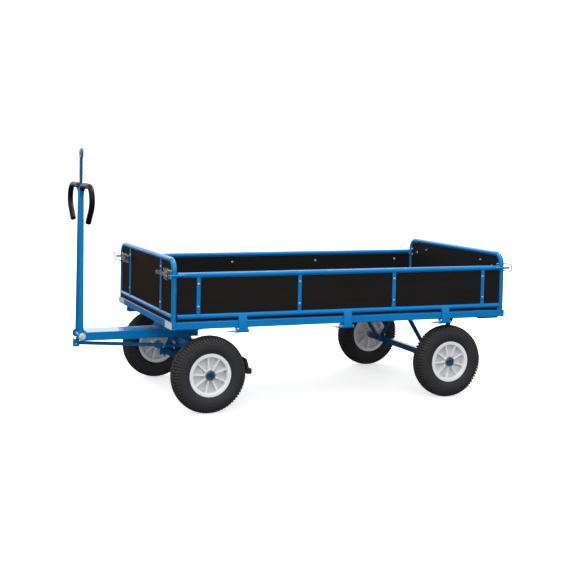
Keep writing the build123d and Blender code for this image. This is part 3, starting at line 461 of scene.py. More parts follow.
# Each finish: the record's slot that it belongs to, its maker, and what the maker is told.
FINISHES = {
    "blue_paint": ("blue_paint", powder_coat, 1.0),
    # The blue at 0.46 is painted shade, for the undercarriage and the towing eye.
    "deep_blue_paint": ("blue_paint", powder_coat, 0.46),
    # The blue at 0.30 darkens the dished axle ends: partly a darker cap, partly painted shade in the middle
    # of each hub.
    "dark_blue_paint": ("blue_paint", powder_coat, 0.30),
    "board_film": ("coated_board", board_film, "board"),
    "wall_film": ("coated_board", board_film, "wall_board"),
    "deck_film": ("coated_board", deck_film),
    "tyre_rubber": ("tyre_rubber", tyre_rubber),
    "rim_plastic": ("rim_plastic", rim_plastic),
    "zinc_plate": ("zinc", zinc_plate),
    "bolt_zinc": ("zinc", bolt_zinc, 0.94, 1.0),
    # A lighter, less metallic copy of the bolt zinc: painted highlight.
    "pale_zinc": ("zinc", bolt_zinc, 0.35, 1.3),
    "dark_wire": ("zinc", dark_wire),
    "turned_steel": ("bright_steel", turned_steel),
    "bush_plastic": ("bush_plastic", bush_plastic),
    "grip_rubber": ("grip_rubber", grip_rubber),
    "shoe_rubber": ("shoe_rubber", shoe_rubber),
    "black_plastic": ("black_plastic", black_plastic),
    "reflector_sheet": ("reflector_white", reflector_sheet),
}
MADE = {}


def finish_named(name):
    """The material of a finish, made once."""
    if name not in MADE:
        _, maker, *details = FINISHES[name]
        MADE[name] = maker(name, *details)
    return MADE[name]


def body_of_node(node):
    """The body that a CAD node rides on."""
    return frame["nodes"][node]["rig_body"]


def middle(node):
    """The middle of a node's box."""
    low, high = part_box(node)
    return (low + high) / 2


def link(name, mesh):
    """A new object of the mesh, in the scene."""
    piece = bpy.data.objects.new(name, mesh)
    bpy.context.scene.collection.objects.link(piece)
    return piece


def to_plain_mesh(piece):
    """Bake a piece's modifiers into its mesh."""
    bpy.context.view_layer.update()
    graph = bpy.context.evaluated_depsgraph_get()
    mesh = bpy.data.meshes.new_from_object(piece.evaluated_get(graph))
    piece.modifiers.clear()
    old = piece.data
    piece.data = mesh
    if old.users == 0:
        bpy.data.meshes.remove(old)
    return mesh


def finish_piece(piece, finish, body, *nodes):
    """Give a piece its material and body, and hide the nodes that it stands for."""
    piece.data.materials.clear()
    piece.data.materials.append(finish_named(finish))
    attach(piece, body)
    if nodes:
        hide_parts(*nodes)


def make_piece(name, mesh, finish, body, *nodes):
    """A finished piece of a mesh, with smooth shading that leans on the large faces."""
    piece = link(name, mesh)
    piece.data.shade_smooth()
    piece.data.set_sharp_from_angle(angle=SHARP_ANGLE)
    leaning = piece.modifiers.new("leaning", "WEIGHTED_NORMAL")
    leaning.keep_sharp = True
    to_plain_mesh(piece)
    finish_piece(piece, finish, body, *nodes)


def mesh_of(name, bm):
    """A plain mesh of a shape under construction, which is then let go."""
    mesh = bpy.data.meshes.new(name)
    bm.to_mesh(mesh)
    bm.free()
    return mesh


def sharp_edges(bm):
    """The edges of a shape that are sharp enough to round."""
    return [edge for edge in bm.edges if edge.calc_face_angle(0.0) > BEVEL_ANGLE]


def soften(bm, edges, radius, steps):
    """Round edges of a shape."""
    bmesh.ops.bevel(
        bm, geom=edges, offset=radius, offset_type="OFFSET", segments=steps, profile=0.5, affect="EDGES",
        clamp_overlap=True,
    )


def circle(bm, radius, height, steps):
    """New points of a shape on a circle round the Z axis."""
    turns = [tau * i / steps for i in range(steps)]
    return [bm.verts.new((radius * cos(turn), radius * sin(turn), height)) for turn in turns]


def bridge(bm, first, second):
    """Faces between two closed rows of points."""
    for k in range(len(first)):
        after = (k + 1) % len(first)
        bm.faces.new((first[k], first[after], second[after], second[k]))


def dressed_node(node, finish, radius=0.0, steps=2):
    """A merged copy of a node with rounded edges and a finish, in the node's place."""
    bm = bmesh.new()
    bm.from_mesh(frame["nodes"][node].data)
    bmesh.ops.remove_doubles(bm, verts=bm.verts, dist=MERGE_DISTANCE)
    bmesh.ops.dissolve_limit(bm, angle_limit=FLAT_ANGLE, verts=bm.verts, edges=bm.edges)
    if radius:
        soften(bm, sharp_edges(bm), radius, steps)
    name = f"{node}_finished"
    make_piece(name, mesh_of(name, bm), finish, body_of_node(node), node)


def new_tree(name, inputs):
    """A Geometry Nodes tree with named inputs, its nodes' adder and the input's sockets."""
    tree = bpy.data.node_groups.new(name, "GeometryNodeTree")
    for label, kind in {"Geometry": "Geometry", **inputs}.items():
        tree.interface.new_socket(label, in_out="INPUT", socket_type=f"NodeSocket{kind}")
    tree.interface.new_socket("Geometry", in_out="OUTPUT", socket_type="NodeSocketGeometry")
    return tree, partial(add_node, tree), tree.nodes.new("NodeGroupInput").outputs


def close_tree(tree, add, given, points, rotation):
    """Stand the given piece on points, realize the copies, set their material, and lead them out."""
    source = add("GeometryNodeObjectInfo", {}, {"Object": given["Piece"]})
    copies = add(
        "GeometryNodeInstanceOnPoints", {},
        {"Points": points, "Instance": source.outputs["Geometry"], "Rotation": rotation},
    )
    real = add("GeometryNodeRealizeInstances", {}, {"Geometry": copies.outputs[0]})
    painted = add("GeometryNodeSetMaterial", {}, {"Geometry": real.outputs[0], "Material": given["Finish"]})
    add("NodeGroupOutput", {}, {0: painted.outputs[0]})
    return tree


def ring_tree():
    """Copies of a piece turned round the Y axis."""
    tree, add, given = new_tree(
        "ring_tree", {"Piece": "Object", "Count": "Int", "Phase": "Float", "Finish": "Material"}
    )
    points = add("GeometryNodePoints", {}, {"Count": given["Count"]})
    index = add("GeometryNodeInputIndex", {}, {})
    step = add("ShaderNodeMath", {"operation": "DIVIDE"}, {0: tau, 1: given["Count"]})
    turn = add(
        "ShaderNodeMath", {"operation": "MULTIPLY_ADD"},
        {0: index.outputs[0], 1: step.outputs[0], 2: given["Phase"]},
    )
    angles = add("ShaderNodeCombineXYZ", {}, {"Y": turn.outputs[0]})
    turned = add("FunctionNodeEulerToRotation", {}, {"Euler": angles.outputs[0]})
    return close_tree(tree, add, given, points.outputs[0], turned.outputs[0])


def places_tree():
    """Copies of a piece on points, each standing along its point's aim."""
    tree, add, given = new_tree("places_tree", {"Piece": "Object", "Finish": "Material"})
    aim = add("GeometryNodeInputNamedAttribute", {"data_type": "FLOAT_VECTOR"}, {"Name": "aim"})
    spin = add("GeometryNodeInputNamedAttribute", {"data_type": "FLOAT"}, {"Name": "spin"})
    euler = add("ShaderNodeCombineXYZ", {}, {"Z": spin.outputs["Attribute"]})
    start = add("FunctionNodeEulerToRotation", {}, {"Euler": euler.outputs[0]})
    stand = add("FunctionNodeAlignRotationToVector", {"axis": "Z"}, {"Vector": aim.outputs["Attribute"]})
    turned = add(
        "FunctionNodeRotateRotation", {"rotation_space": "LOCAL"}, {0: stand.outputs[0], 1: start.outputs[0]}
    )
    return close_tree(tree, add, given, given["Geometry"], turned.outputs[0])


def run_tree(piece, maker, values):
    """Put a piece through a tree with its inputs set by identifier, and keep the plain mesh."""
    tree = bpy.data.node_groups.get(maker.__name__) or maker()
    modifier = piece.modifiers.new(tree.name, "NODES")
    modifier.node_group = tree
    for item in tree.interface.items_tree:
        if item.in_out == "INPUT" and item.name in values:
            modifier[item.identifier] = values[item.name]
    return to_plain_mesh(piece)


def ring_of(mesh, count, phase, finish):
    """A mesh of copies of the given mesh round the Y axis."""
    source = link("ring_source", mesh)
    piece = link("ring_copies", bpy.data.meshes.new("ring_copies"))
    values = {"Piece": source, "Count": count, "Phase": phase, "Finish": finish_named(finish)}
    made = run_tree(piece, ring_tree, values)
    bpy.data.objects.remove(piece)
    bpy.data.objects.remove(source)
    return made


def scatter(name, body, shape, places, finish):
    """One piece of like fasteners: places are (point, aim, spin)."""
    mesh = bpy.data.meshes.new(name)
    mesh.from_pydata([point for point, _, _ in places], [], [])
    mesh.attributes.new("aim", "FLOAT_VECTOR", "POINT")
    mesh.attributes.new("spin", "FLOAT", "POINT")
    mesh.attributes["aim"].data.foreach_set("vector", [number for _, aim, _ in places for number in aim])
    mesh.attributes["spin"].data.foreach_set("value", [spin for _, _, spin in places])
    source = link("fastener_source", shape)
    piece = link(name, mesh)
    run_tree(piece, places_tree, {"Piece": source, "Finish": finish_named(finish)})
    bpy.data.objects.remove(source)
    finish_piece(piece, finish, body)


def turned_shape(name, profile, steps, axis="Z"):
    """A mesh turned from (radius, height) points that start and end on the axis or close on themselves."""
    bm = bmesh.new()
    closed = profile[0] == profile[-1]
    points = profile[:-1] if closed else profile
    rings = []
    for radius, height in points:
        rings.append(circle(bm, radius, height, steps if radius > MERGE_DISTANCE else 1))
    pairs = list(zip(rings, rings[1:]))
    if closed:
        pairs.append((rings[-1], rings[0]))
    for low, high in pairs:
        for i in range(steps):
            j = (i + 1) % steps
            corners = [low[i % len(low)], low[j % len(low)], high[j % len(high)], high[i % len(high)]]
            unique = list(dict.fromkeys(corners))
            if len(unique) > 2:
                bm.faces.new(unique)
    if axis == "Y":
        bmesh.ops.rotate(bm, verts=bm.verts, matrix=Matrix.Rotation(-pi / 2, 3, "X"))
    bmesh.ops.recalc_face_normals(bm, faces=bm.faces)
    mesh = mesh_of(name, bm)
    mesh.shade_smooth()
    mesh.set_sharp_from_angle(angle=SHARP_ANGLE)
    return mesh


def arc(start, halfway, end, count):
    """Points on the circle through three (radius, height) points, with both ends."""
    (ax, ay), (bx, by), (cx, cy) = start, halfway, end
    twist = 2 * (ax * (by - cy) + bx * (cy - ay) + cx * (ay - by))
    a2, b2, c2 = ax * ax + ay * ay, bx * bx + by * by, cx * cx + cy * cy
    ux = (a2 * (by - cy) + b2 * (cy - ay) + c2 * (ay - by)) / twist
    uy = (a2 * (cx - bx) + b2 * (ax - cx) + c2 * (bx - ax)) / twist
    centre = Vector((ux, uy))
    first, second, third = (Vector(point) - centre for point in (start, halfway, end))
    sweep = first.angle_signed(second) + second.angle_signed(third)
    points = []
    for i in range(count + 1):
        point = centre + Matrix.Rotation(-sweep * i / count, 2) @ first
        points.append((point.x, point.y))
    return points


def joined(name, *meshes):
    """One mesh of several."""
    bm = bmesh.new()
    for mesh in meshes:
        bm.from_mesh(mesh)
    return mesh_of(name, bm)


PLATFORM_MID = middle("chassis_rails")
TYRE_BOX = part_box("front_left_tyre")
RIM_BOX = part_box("front_left_rim")
TYRE_R = (TYRE_BOX[1].z - TYRE_BOX[0].z) / 2
TYRE_HALF = (TYRE_BOX[1].y - TYRE_BOX[0].y) / 2
FLANGE_R = (RIM_BOX[1].z - RIM_BOX[0].z) / 2
# Half widths of the rib round the middle of the tread.
RIB_FOOT = 7.5 * MM
RIB_TOP = 5.5 * MM
# Radii between which the flanks are raised, and by how much.
FLANK_RING = (118.5 * MM, 123.5 * MM)
FLANK_RING_T = 0.9 * MM
# Top of a lug in millimetres: how far under the tread, how far from the middle; and the share of its width.
OUTER_LUG = (
    (1.4, 17.0, 1.0), (4.6, 28.0, 1.0), (9.6, 38.0, 0.98), (15.5, 44.5, 0.94), (24.0, 48.2, 0.86),
    (33.0, 48.6, 0.70),
)
INNER_LUG = ((0.2, 4.5, 1.0), (0.3, 9.0, 1.0), (1.0, 13.8, 1.0))
# Each row of lugs: its lug, how it leans, and its start in steps round the tyre.
LUG_ROWS = ((OUTER_LUG, 0.12, 0.0), (INNER_LUG, -0.35, 0.5))
LUG_ROOT = 3 * MM
LUG_DRAFT = 1.25
LUG_EDGE = 0.8 * MM
# Dust lies over this share of a lug's height; past its flat middle the tread falls at this rate.
DUST_FROM = 0.35
LUG_FLAT = 17 * MM
LUG_FALL = 0.78
# Half a rim rib's foot as a share of the rib's width, and the rounding of its crest.
RIM_RIB_FOOT = 0.66
RIM_RIB_EDGE = 1.2 * MM


def casing_profile(lug_height):
    """(radius, height) round a tyre's section, closed, with rings on the flanks and a rib in the middle."""
    bead = (FLANGE_R - 11.5 * MM, 32 * MM)
    flange = (FLANGE_R - 0.5 * MM, 34.5 * MM)
    belly = (154 * MM, TYRE_HALF - 0.4 * MM)
    shoulder = (TYRE_R - 23 * MM, 41 * MM)
    crown = (TYRE_R - lug_height, 0.0)
    flank = arc(flange, (131 * MM, TYRE_HALF - 3.9 * MM), belly, 14)
    upper = arc(belly, (172 * MM, TYRE_HALF - 3.2 * MM), shoulder, 8)
    half = []
    for radius, height in (bead, *flank, *upper[1:]):
        raised = FLANK_RING_T if FLANK_RING[0] < radius < FLANK_RING[1] else 0.0
        half.append((radius, height + raised))
    top = arc(shoulder, crown, (shoulder[0], -shoulder[1]), 14)
    half += [point for point in top[1:-1] if point[1] > RIB_FOOT]
    half += [(crown[0], RIB_FOOT), (TYRE_R - 0.3 * MM, RIB_TOP)]
    return [*half, *((radius, -height) for radius, height in reversed(half)), half[0]]


def dust_points(mesh, amount):
    """Keep a share at each point of a mesh: road dust on a tyre's lugs and painted shade on a rim's web."""
    kept = mesh.attributes.new("dust", "FLOAT", "POINT")
    kept.data.foreach_set("value", [amount(vert.co) for vert in mesh.vertices])
    return mesh


def lug(path, widths, height, skew):
    """A tread lug along (radius, height) points of its top, with drafted sides, at the top of the wheel."""
    bm = bmesh.new()
    rows = []
    for i, (radius, across) in enumerate(path):
        before = Vector(path[max(i - 1, 0)])
        after = Vector(path[min(i + 1, len(path) - 1)])
        way = (after - before).normalized()
        normal = Vector((-way.y, way.x))
        if normal.x < 0:
            normal = -normal
        foot = Vector((radius, across)) - normal * height
        half = widths[i] / 2
        lean = skew * across
        row = [(half + lean, radius, across), (lean - half, radius, across)]
        row += [(lean - half * LUG_DRAFT, foot.x, foot.y), (lean + half * LUG_DRAFT, foot.x, foot.y)]
        rows.append([bm.verts.new((x, y, z)) for x, z, y in row])
    for before, after in zip(rows, rows[1:]):
        bridge(bm, before, after)
    bm.faces.new(rows[0])
    bm.faces.new(rows[-1])
    bmesh.ops.recalc_face_normals(bm, faces=bm.faces)
    soften(bm, sharp_edges(bm), LUG_EDGE, 1)
    return mesh_of("lug", bm)


def tyre_mesh():
    """A tyre about the origin and the Y axis: casing, two rows of shoulder lugs and two of middle blocks."""
    sizes = settings().wheels
    meshes = [turned_shape("casing", casing_profile(sizes.lug_height), sizes.turn_steps, "Y")]
    step = tau / sizes.lug_count
    for sign, shift in ((1.0, 0.0), (-1.0, 0.5)):
        for row, skew, start in LUG_ROWS:
            path = [(TYRE_R - fall * MM, sign * across * MM) for fall, across, _ in row]
            widths = [sizes.lug_width * share for _, _, share in row]
            shape = lug(path, widths, sizes.lug_height + LUG_ROOT, sign * skew)
            meshes.append(ring_of(shape, sizes.lug_count, (start + shift) * step, "tyre_rubber"))
    dusty = TYRE_R - sizes.lug_height + sizes.lug_height * DUST_FROM

    def lug_dust(spot):
        fall = LUG_FALL * max(0.0, abs(spot.y) - LUG_FLAT)
        return 1.0 if Vector((spot.x, spot.z)).length + fall > dusty else 0.0

    return dust_points(joined("tyre", *meshes), lug_dust)


def rim_rib(foot, top, inner, outer, sign, width):
    """A rib from the hub to the barrel on one face of a rim, thicker at its foot, with a rounded crest."""
    rib = bmesh.new()
    thin, thick = width / 2, width * RIM_RIB_FOOT
    corners = [(foot, 0.0, thick), (top, 0.0, thick), (top, outer, thin), (foot, inner, thin)]
    front = [rib.verts.new((w, sign * y, r)) for r, y, w in corners]
    rear = [rib.verts.new((-w, sign * y, r)) for r, y, w in corners]
    rib.faces.new(front)
    rib.faces.new(rear)
    bridge(rib, front, rear)
    bmesh.ops.recalc_face_normals(rib, faces=rib.faces)
    ridge = (*front[2:], *rear[2:])
    crest = [edge for edge in rib.edges if all(vert in ridge for vert in edge.verts)]
    soften(rib, crest, RIM_RIB_EDGE, 3)
    return mesh_of("rib", rib)


def rim_mesh():
    """A rim about the origin, outer face at -Y: turned barrel, web and hub, and ribs on both faces."""
    sizes = settings().wheels
    flange, seat, barrel = FLANGE_R, FLANGE_R - 11.8 * MM, FLANGE_R - 19.5 * MM
    half, web, hub, bore = 39.5 * MM, 6 * MM, 30 * MM, 19.1 * MM
    out, back = 35 * MM, 40 * MM
    lip = 1.2 * MM

    def face(hub_end):
        """(radius, height) from the bore to the tyre's seat over a face whose hub ends at that height."""
        return [
            (bore, hub_end), (hub - lip, hub_end), (hub, hub_end - lip), (hub + 1 * MM, web + 2 * MM),
            (hub + 3 * MM, web), (barrel - 5 * MM, web), (barrel - 3 * MM, web + 2 * MM),
            (barrel, half - 3 * MM), (barrel + 1 * MM, half - lip), (barrel + 3 * MM, half),
            (flange - lip, half), (flange, half - lip), (flange, half - 3.4 * MM),
            (flange - 1 * MM, half - 4.2 * MM), (seat, 32.6 * MM),
        ]

    outer = [(radius, -height) for radius, height in reversed(face(out))]
    meshes = [turned_shape("rim_turned", [*face(back), *outer, (bore, back)], sizes.turn_steps, "Y")]
    for sign, hub_end in ((-1.0, out), (1.0, back)):
        rib = rim_rib(hub - 3 * MM, barrel + 1 * MM, hub_end - 4 * MM, half - 9 * MM, sign, sizes.rib_width)
        meshes.append(ring_of(rib, sizes.rib_count, 0.0, "rim_plastic"))

    # Painted shade: the web between the ribs is darkened, fully on the outer face and by half on the inner
    # face.
    def web_dust(spot):
        on_web = abs(spot.y) < web + 3 * MM and hub < Vector((spot.x, spot.z)).length < barrel + 2 * MM
        return (1.0 if spot.y < 0.0 else 0.5) * on_web

    return dust_points(joined("rim", *meshes), web_dust)


def place_wheels(suffix, mesh, finish, turns):
    """Four copies of a wheel's mesh, whose outer face is at -Y, each on its axle in place of its node."""
    for end, side in CORNERS:
        node = f"{end}_{side}_{suffix}"
        flip = Matrix.Rotation(pi, 4, "Z") if side == "right" else Matrix.Identity(4)
        turn = Matrix.Rotation(SIDE_SIGN[side] * turns.get(end, 0.0), 4, "Y")
        copy = mesh.copy()
        copy.transform(Matrix.Translation(middle(f"{end}_{side}_tyre")) @ flip @ turn)
        make_piece(f"{node}_moulded", copy, finish, f"{end}_{side}_wheel", node)


class CART_OT_paint_steelwork(Operator):
    """Round and paint the welded steelwork"""

    bl_idname = "hand_cart.paint_steelwork"
    bl_label = "Paint Steelwork"

    SOFT_EDGES = {
        "chassis_rails": 3.0, "chassis_beams": 3.0, "cross_members": 2.5, "draw_arm": 2.0, "bolster": 2.0,
        "rear_axle": 2.0, "front_axle": 1.5, "rear_struts": 0.4, "brake_bar": 2.5,
        "turntable_upper_ring": 0.8, "turntable_lower_ring": 0.8, "drawbar_tubes": 0.3,
        "drawbar_pivot_tube": 0.5, "hinge_brackets": 0.6, "left_side_straps": 0.9, "right_side_straps": 0.9,
        "left_side_frame": 0.6, "right_side_frame": 0.6, "front_wall_frame": 0.6, "rear_wall_frame": 0.6,
        "towing_eye": 0.6,
    }
    # Painted shade: the axles, rear struts and towing eye take the blue at a lower share, darker for the
    # shade under the platform and on the thin eye.
    SHADE_PAINTED_PARTS = ("rear_axle", "front_axle", "rear_struts", "towing_eye")

    def execute(self, context):
        for node, radius in self.SOFT_EDGES.items():
            paint = "deep_blue_paint" if node in self.SHADE_PAINTED_PARTS else "blue_paint"
            dressed_node(node, paint, radius * MM, 3)
        return {"FINISHED"}


BOARD_EDGE = 0.5 * MM
DECK_EDGE = 0.6 * MM
TUBE_R = 13.45 * MM
# A dark strip under each board's lower tube is painted shade for the gap over the rail: its gap, thickness,
# drop, rounding and offset.
SHADE_STRIP_GAP = 2 * MM
SHADE_STRIP_T = 6 * MM
SHADE_STRIP_DROP = 1.3 * TUBE_R
SHADE_STRIP_EDGE = 1.5 * MM
SHADE_STRIP_OUT = {"side": -6 * MM, "wall": 8.5 * MM}


def kind_of(body):
    """Whether a body with a board is a side or a wall."""
    return body.split("_")[1]


class CART_OT_fit_boards(Operator):
    """Finish the coated boards and the deck, and put a dark strip of painted shade under each board's lower
    tube
    """

    bl_idname = "hand_cart.fit_boards"
    bl_label = "Fit Boards"

    def execute(self, context):
        for body in OUTWARD:
            # Only the front wall takes the browner film, partly painted light on its lit face.
            film = "wall_film" if body == "front_wall" else "board_film"
            dressed_node(f"{body}_board", film, BOARD_EDGE, 1)
            self.add_shade_strip(body)
        dressed_node("deck_board", "deck_film", DECK_EDGE, 1)
        return {"FINISHED"}

    @staticmethod
    def add_shade_strip(body):
        """A dark strip of painted shade under the lower tube, in the shaded gap over the rail, set off from
        the tube's middle.
        """
        low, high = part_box(f"{body}_board")
        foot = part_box("chassis_rails")[1].z + SHADE_STRIP_GAP
        offset = OUTWARD[body] * SHADE_STRIP_OUT[kind_of(body)]
        room = (high.x - low.x, high.y - low.y, low.z - SHADE_STRIP_DROP - foot)
        size = Vector(SHADE_STRIP_T if shift else length for shift, length in zip(offset, room))
        centre = Vector(((low.x + high.x) / 2, (low.y + high.y) / 2, foot + size.z / 2)) + offset
        bm = bmesh.new()
        bmesh.ops.create_cube(bm, size=1.0)
        bmesh.ops.scale(bm, vec=size, verts=bm.verts)
        bmesh.ops.translate(bm, vec=centre, verts=bm.verts)
        soften(bm, bm.edges[:], SHADE_STRIP_EDGE, 2)
        name = f"{body}_board_foot"
        make_piece(name, mesh_of(name, bm), "board_film", body)


class CART_OT_make_tyres(Operator):
    """Make the treaded tyres"""

    bl_idname = "hand_cart.make_tyres"
    bl_label = "Make Tyres"

    def execute(self, context):
        place_wheels("tyre", tyre_mesh(), "tyre_rubber", {})
        return {"FINISHED"}


HUB_BACK = 4.2 * MM
RING_STEPS = 48
# (share of the dish's radius, height over the axle's face in millimetres) from its edge to its middle
DISH = ((1.0, 0.0), (1.0, 1.1), (0.93, 1.6), (0.8, 1.5), (0.7, 0.9), (0.0, 0.8))
DISH_SHARE = 0.74


class CART_OT_make_rims(Operator):
    """Make the ribbed rims"""

    bl_idname = "hand_cart.make_rims"
    bl_label = "Make Rims"

    RIB_TURN = {"front": radians(7), "rear": radians(14)}

    def execute(self, context):
        place_wheels("rim", rim_mesh(), "rim_plastic", self.RIB_TURN)
        for end in ENDS:
            self.ring_hubs(end)
        return {"FINISHED"}

    @staticmethod
    def ring(inside, outside, start, depth):
        """(radius, height) round a flat ring with a bevelled outer face."""
        lip, end = depth * 0.3, start + depth
        return [
            (inside, start), (outside, start), (outside, end - lip), (outside - lip, end),
            (inside + lip, end), (inside, end - lip), (inside, start),
        ]

    def ring_hubs(self, end):
        """A washer against each hub, a seal round each axle end and its dished end, still with the axle; the
        dished end's darker blue is partly a darker cap and partly painted shade in the hub's middle.
        """
        collars = f"{end}_axle_collars"
        axle, collar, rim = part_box(f"{end}_axle"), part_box(collars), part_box(f"{end}_right_rim")
        stub_r, collar_r = (axle[1].x - axle[0].x) / 2, (collar[1].x - collar[0].x) / 2
        washer = self.ring(collar_r - 1 * MM, collar_r + 6 * MM, rim[1].y - HUB_BACK, 2 * MM)
        seal = self.ring(stub_r - 0.5 * MM, stub_r + 3 * MM, collar[1].y - 0.5 * MM, 1.5 * MM)
        face, dish_r = axle[1].y - 0.5 * MM, stub_r * DISH_SHARE
        dish = [(0.0, face), *((dish_r * share, face + height * MM) for share, height in DISH)]
        place = Matrix.Translation((middle(collars).x, 0.0, middle(collars).z))
        for label, finish, profile in (
            ("hub_washers", "bolt_zinc", washer), ("axle_seals", "black_plastic", seal),
            ("axle_ends", "dark_blue_paint", dish),
        ):
            right = turned_shape(label, profile, RING_STEPS, "Y")
            left = right.copy()
            left.transform(Matrix.Rotation(pi, 4, "Z"))
            mesh = joined(f"{end}_{label}", right, left)
            mesh.transform(place)
            make_piece(f"{end}_{label}", mesh, finish, body_of_node(collars))


class CART_OT_plate_fittings(Operator):
    """Plate the latches, collars, pins and nuts, and finish the plastic and rubber pieces"""

    bl_idname = "hand_cart.plate_fittings"
    bl_label = "Plate Fittings"

    NODES = {
        "front_latch_bases": ("zinc_plate", 0.5), "rear_latch_bases": ("zinc_plate", 0.5),
        "rear_axle_collars": ("turned_steel", 0.5), "front_axle_collars": ("turned_steel", 0.5),
        # The pivot bolt and rod guide take the lighter zinc, a painted highlight.
        "drawbar_pivot_bolt": ("pale_zinc", 0.6), "hinge_pins": ("bolt_zinc", 0.5),
        "brake_rod_guide": ("pale_zinc", 0.8), "turntable_balls": ("turned_steel", 0.0),
        "brake_rod": ("blue_paint", 0.8),
        "rear_wheel_bushes": ("bush_plastic", 0.3), "front_wheel_bushes": ("bush_plastic", 0.3),
        "handle_grips": ("grip_rubber", 1.0), "brake_shoes": ("shoe_rubber", 1.0),
        "beam_end_caps": ("black_plastic", 1.0), "brake_bar_caps": ("black_plastic", 1.0),
        "lashing_bars": ("black_plastic", 0.8), "front_reflectors": ("reflector_sheet", 0.5),
    }

    LEVER_EDGE = 0.8 * MM

    def execute(self, context):
        for node, (finish, radius) in self.NODES.items():
            dressed_node(node, finish, radius * MM)
        for end, side in CORNERS:
            dressed_node(f"{end}_{side}_latch_lever", "zinc_plate", self.LEVER_EDGE)
            dressed_node(f"{end}_{side}_latch_loop", "dark_wire")
        return {"FINISHED"}


UP = Vector((0.0, 0.0, 1.0))
# Shares of a board's length where its bars stand, and of its height where their bolts sit.
BARS = {"side": (0.0585, 0.3531, 0.6469, 0.9415), "wall": (0.1913, 0.8087)}
BOLTS_UP = {"side": (0.19, 0.82), "wall": (0.14, 0.86)}
BAR_HALF = 10 * MM
BAR_T = 5 * MM
LATCH_PLATE_T = 3 * MM
LATCH_BOLT_IN = 7 * MM
LATCH_BOLT_RUN = 62 * MM
# Shares of a bolt head's height in its collar, and of a nut's radius in its thread.
DOME_COLLAR = 0.2
THREAD = 0.52
NUT_EDGE = 0.4 * MM
NUT_SPIN = 0.9
DECK_ALONG = (0.06, 0.28, 0.5, 0.72, 0.94)
DECK_ACROSS = (0.13, 0.315, 0.5, 0.685, 0.87)
# Shares of the platform's half length where the hinge straps stand.
STRAP_ALONG = (-0.6106, 0.0, 0.6106)
STRAP_HALF = 24 * MM
STRAP_WELD_OUT = 2.6 * MM
WELD_IN = 4.5 * MM
WELD_AIM_OUT = 0.8
WELD_AIM_UP = UP * 0.6
RIPPLE_RISE = 0.62
RIPPLE_SPIN = 0.7


def quarter(radius, height, steps):
    """(radius, height) points up a quarter of an ellipse, without its top."""
    turns = [pi / 2 * i / steps for i in range(steps)]
    return [(radius * cos(turn), height * sin(turn)) for turn in turns]


def dome_head():
    """A domed bolt head on its square neck's collar, standing on z = 0."""
    sizes = settings().fittings
    radius, height = sizes.dome_radius, sizes.dome_height
    edge = height * DOME_COLLAR
    crown = [(across, edge + up) for across, up in quarter(radius, height - edge, 5)]
    return turned_shape("dome_head", [(0.0, -edge), (radius, -edge), *crown, (0.0, height)], 20)


def hexagon_nut():
    """A hexagon nut on its washer, with the bolt's end standing out of it, on z = 0."""
    sizes = settings().fittings
    washer, nut = sizes.washer_height, sizes.hex_height
    bm = bmesh.new()
    for segments, radius, low, high in (
        (20, sizes.washer_radius, -washer * 0.2, washer),
        (6, sizes.hex_radius, washer, washer + nut),
        (16, sizes.hex_radius * THREAD, washer + nut, washer + nut * 1.5),
    ):
        bmesh.ops.create_cone(
            bm, cap_ends=True, segments=segments, radius1=radius, radius2=radius, depth=high - low,
            matrix=Matrix.Translation((0.0, 0.0, (low + high) / 2)),
        )
    soften(bm, sharp_edges(bm), NUT_EDGE, 1)
    return mesh_of("hexagon_nut", bm)


def screw_head():
    """A countersunk screw head with a round recess, its rim just above z = 0."""
    radius = settings().fittings.screw_radius
    profile = [
        (0.0, -1.6 * MM), (radius * 0.34, -1.4 * MM), (radius * 0.42, 0.1 * MM),
        (radius * 0.95, 0.3 * MM), (radius, -0.4 * MM), (radius * 0.6, -2.4 * MM), (0.0, -2.4 * MM),
    ]
    return turned_shape("screw_head", profile, 18)


def weld_bead():
    """One ripple of a weld, standing on z = 0."""
    radius = settings().fittings.weld_radius
    height = radius * RIPPLE_RISE
    return turned_shape("weld_bead", [*quarter(radius, height, 3), (0.0, height)], 8)


def weld_run(centre, half, aim):
    """Places of the ripples of a straight weld, half its length to each side of its centre."""
    start, end = centre - half, centre + half
    count = max(2, round((end - start).length / settings().fittings.weld_step))
    return [(start.lerp(end, i / count), aim, RIPPLE_SPIN * i) for i in range(count + 1)]


def within(box, *shares):
    """The point of a box at the given shares of its length, width and height."""
    low, high = box
    return Vector(a + (b - a) * share for a, b, share in zip(low, high, shares))


def on_board(body, along, up, inside=False):
    """The point of a board's outer or inner face at the given shares of its length and height."""
    box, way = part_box(f"{body}_board"), OUTWARD[body]
    depth = 1.0 if (way.x + way.y > 0) != inside else 0.0
    return within(box, along, depth, up) if way.y else within(box, depth, along, up)


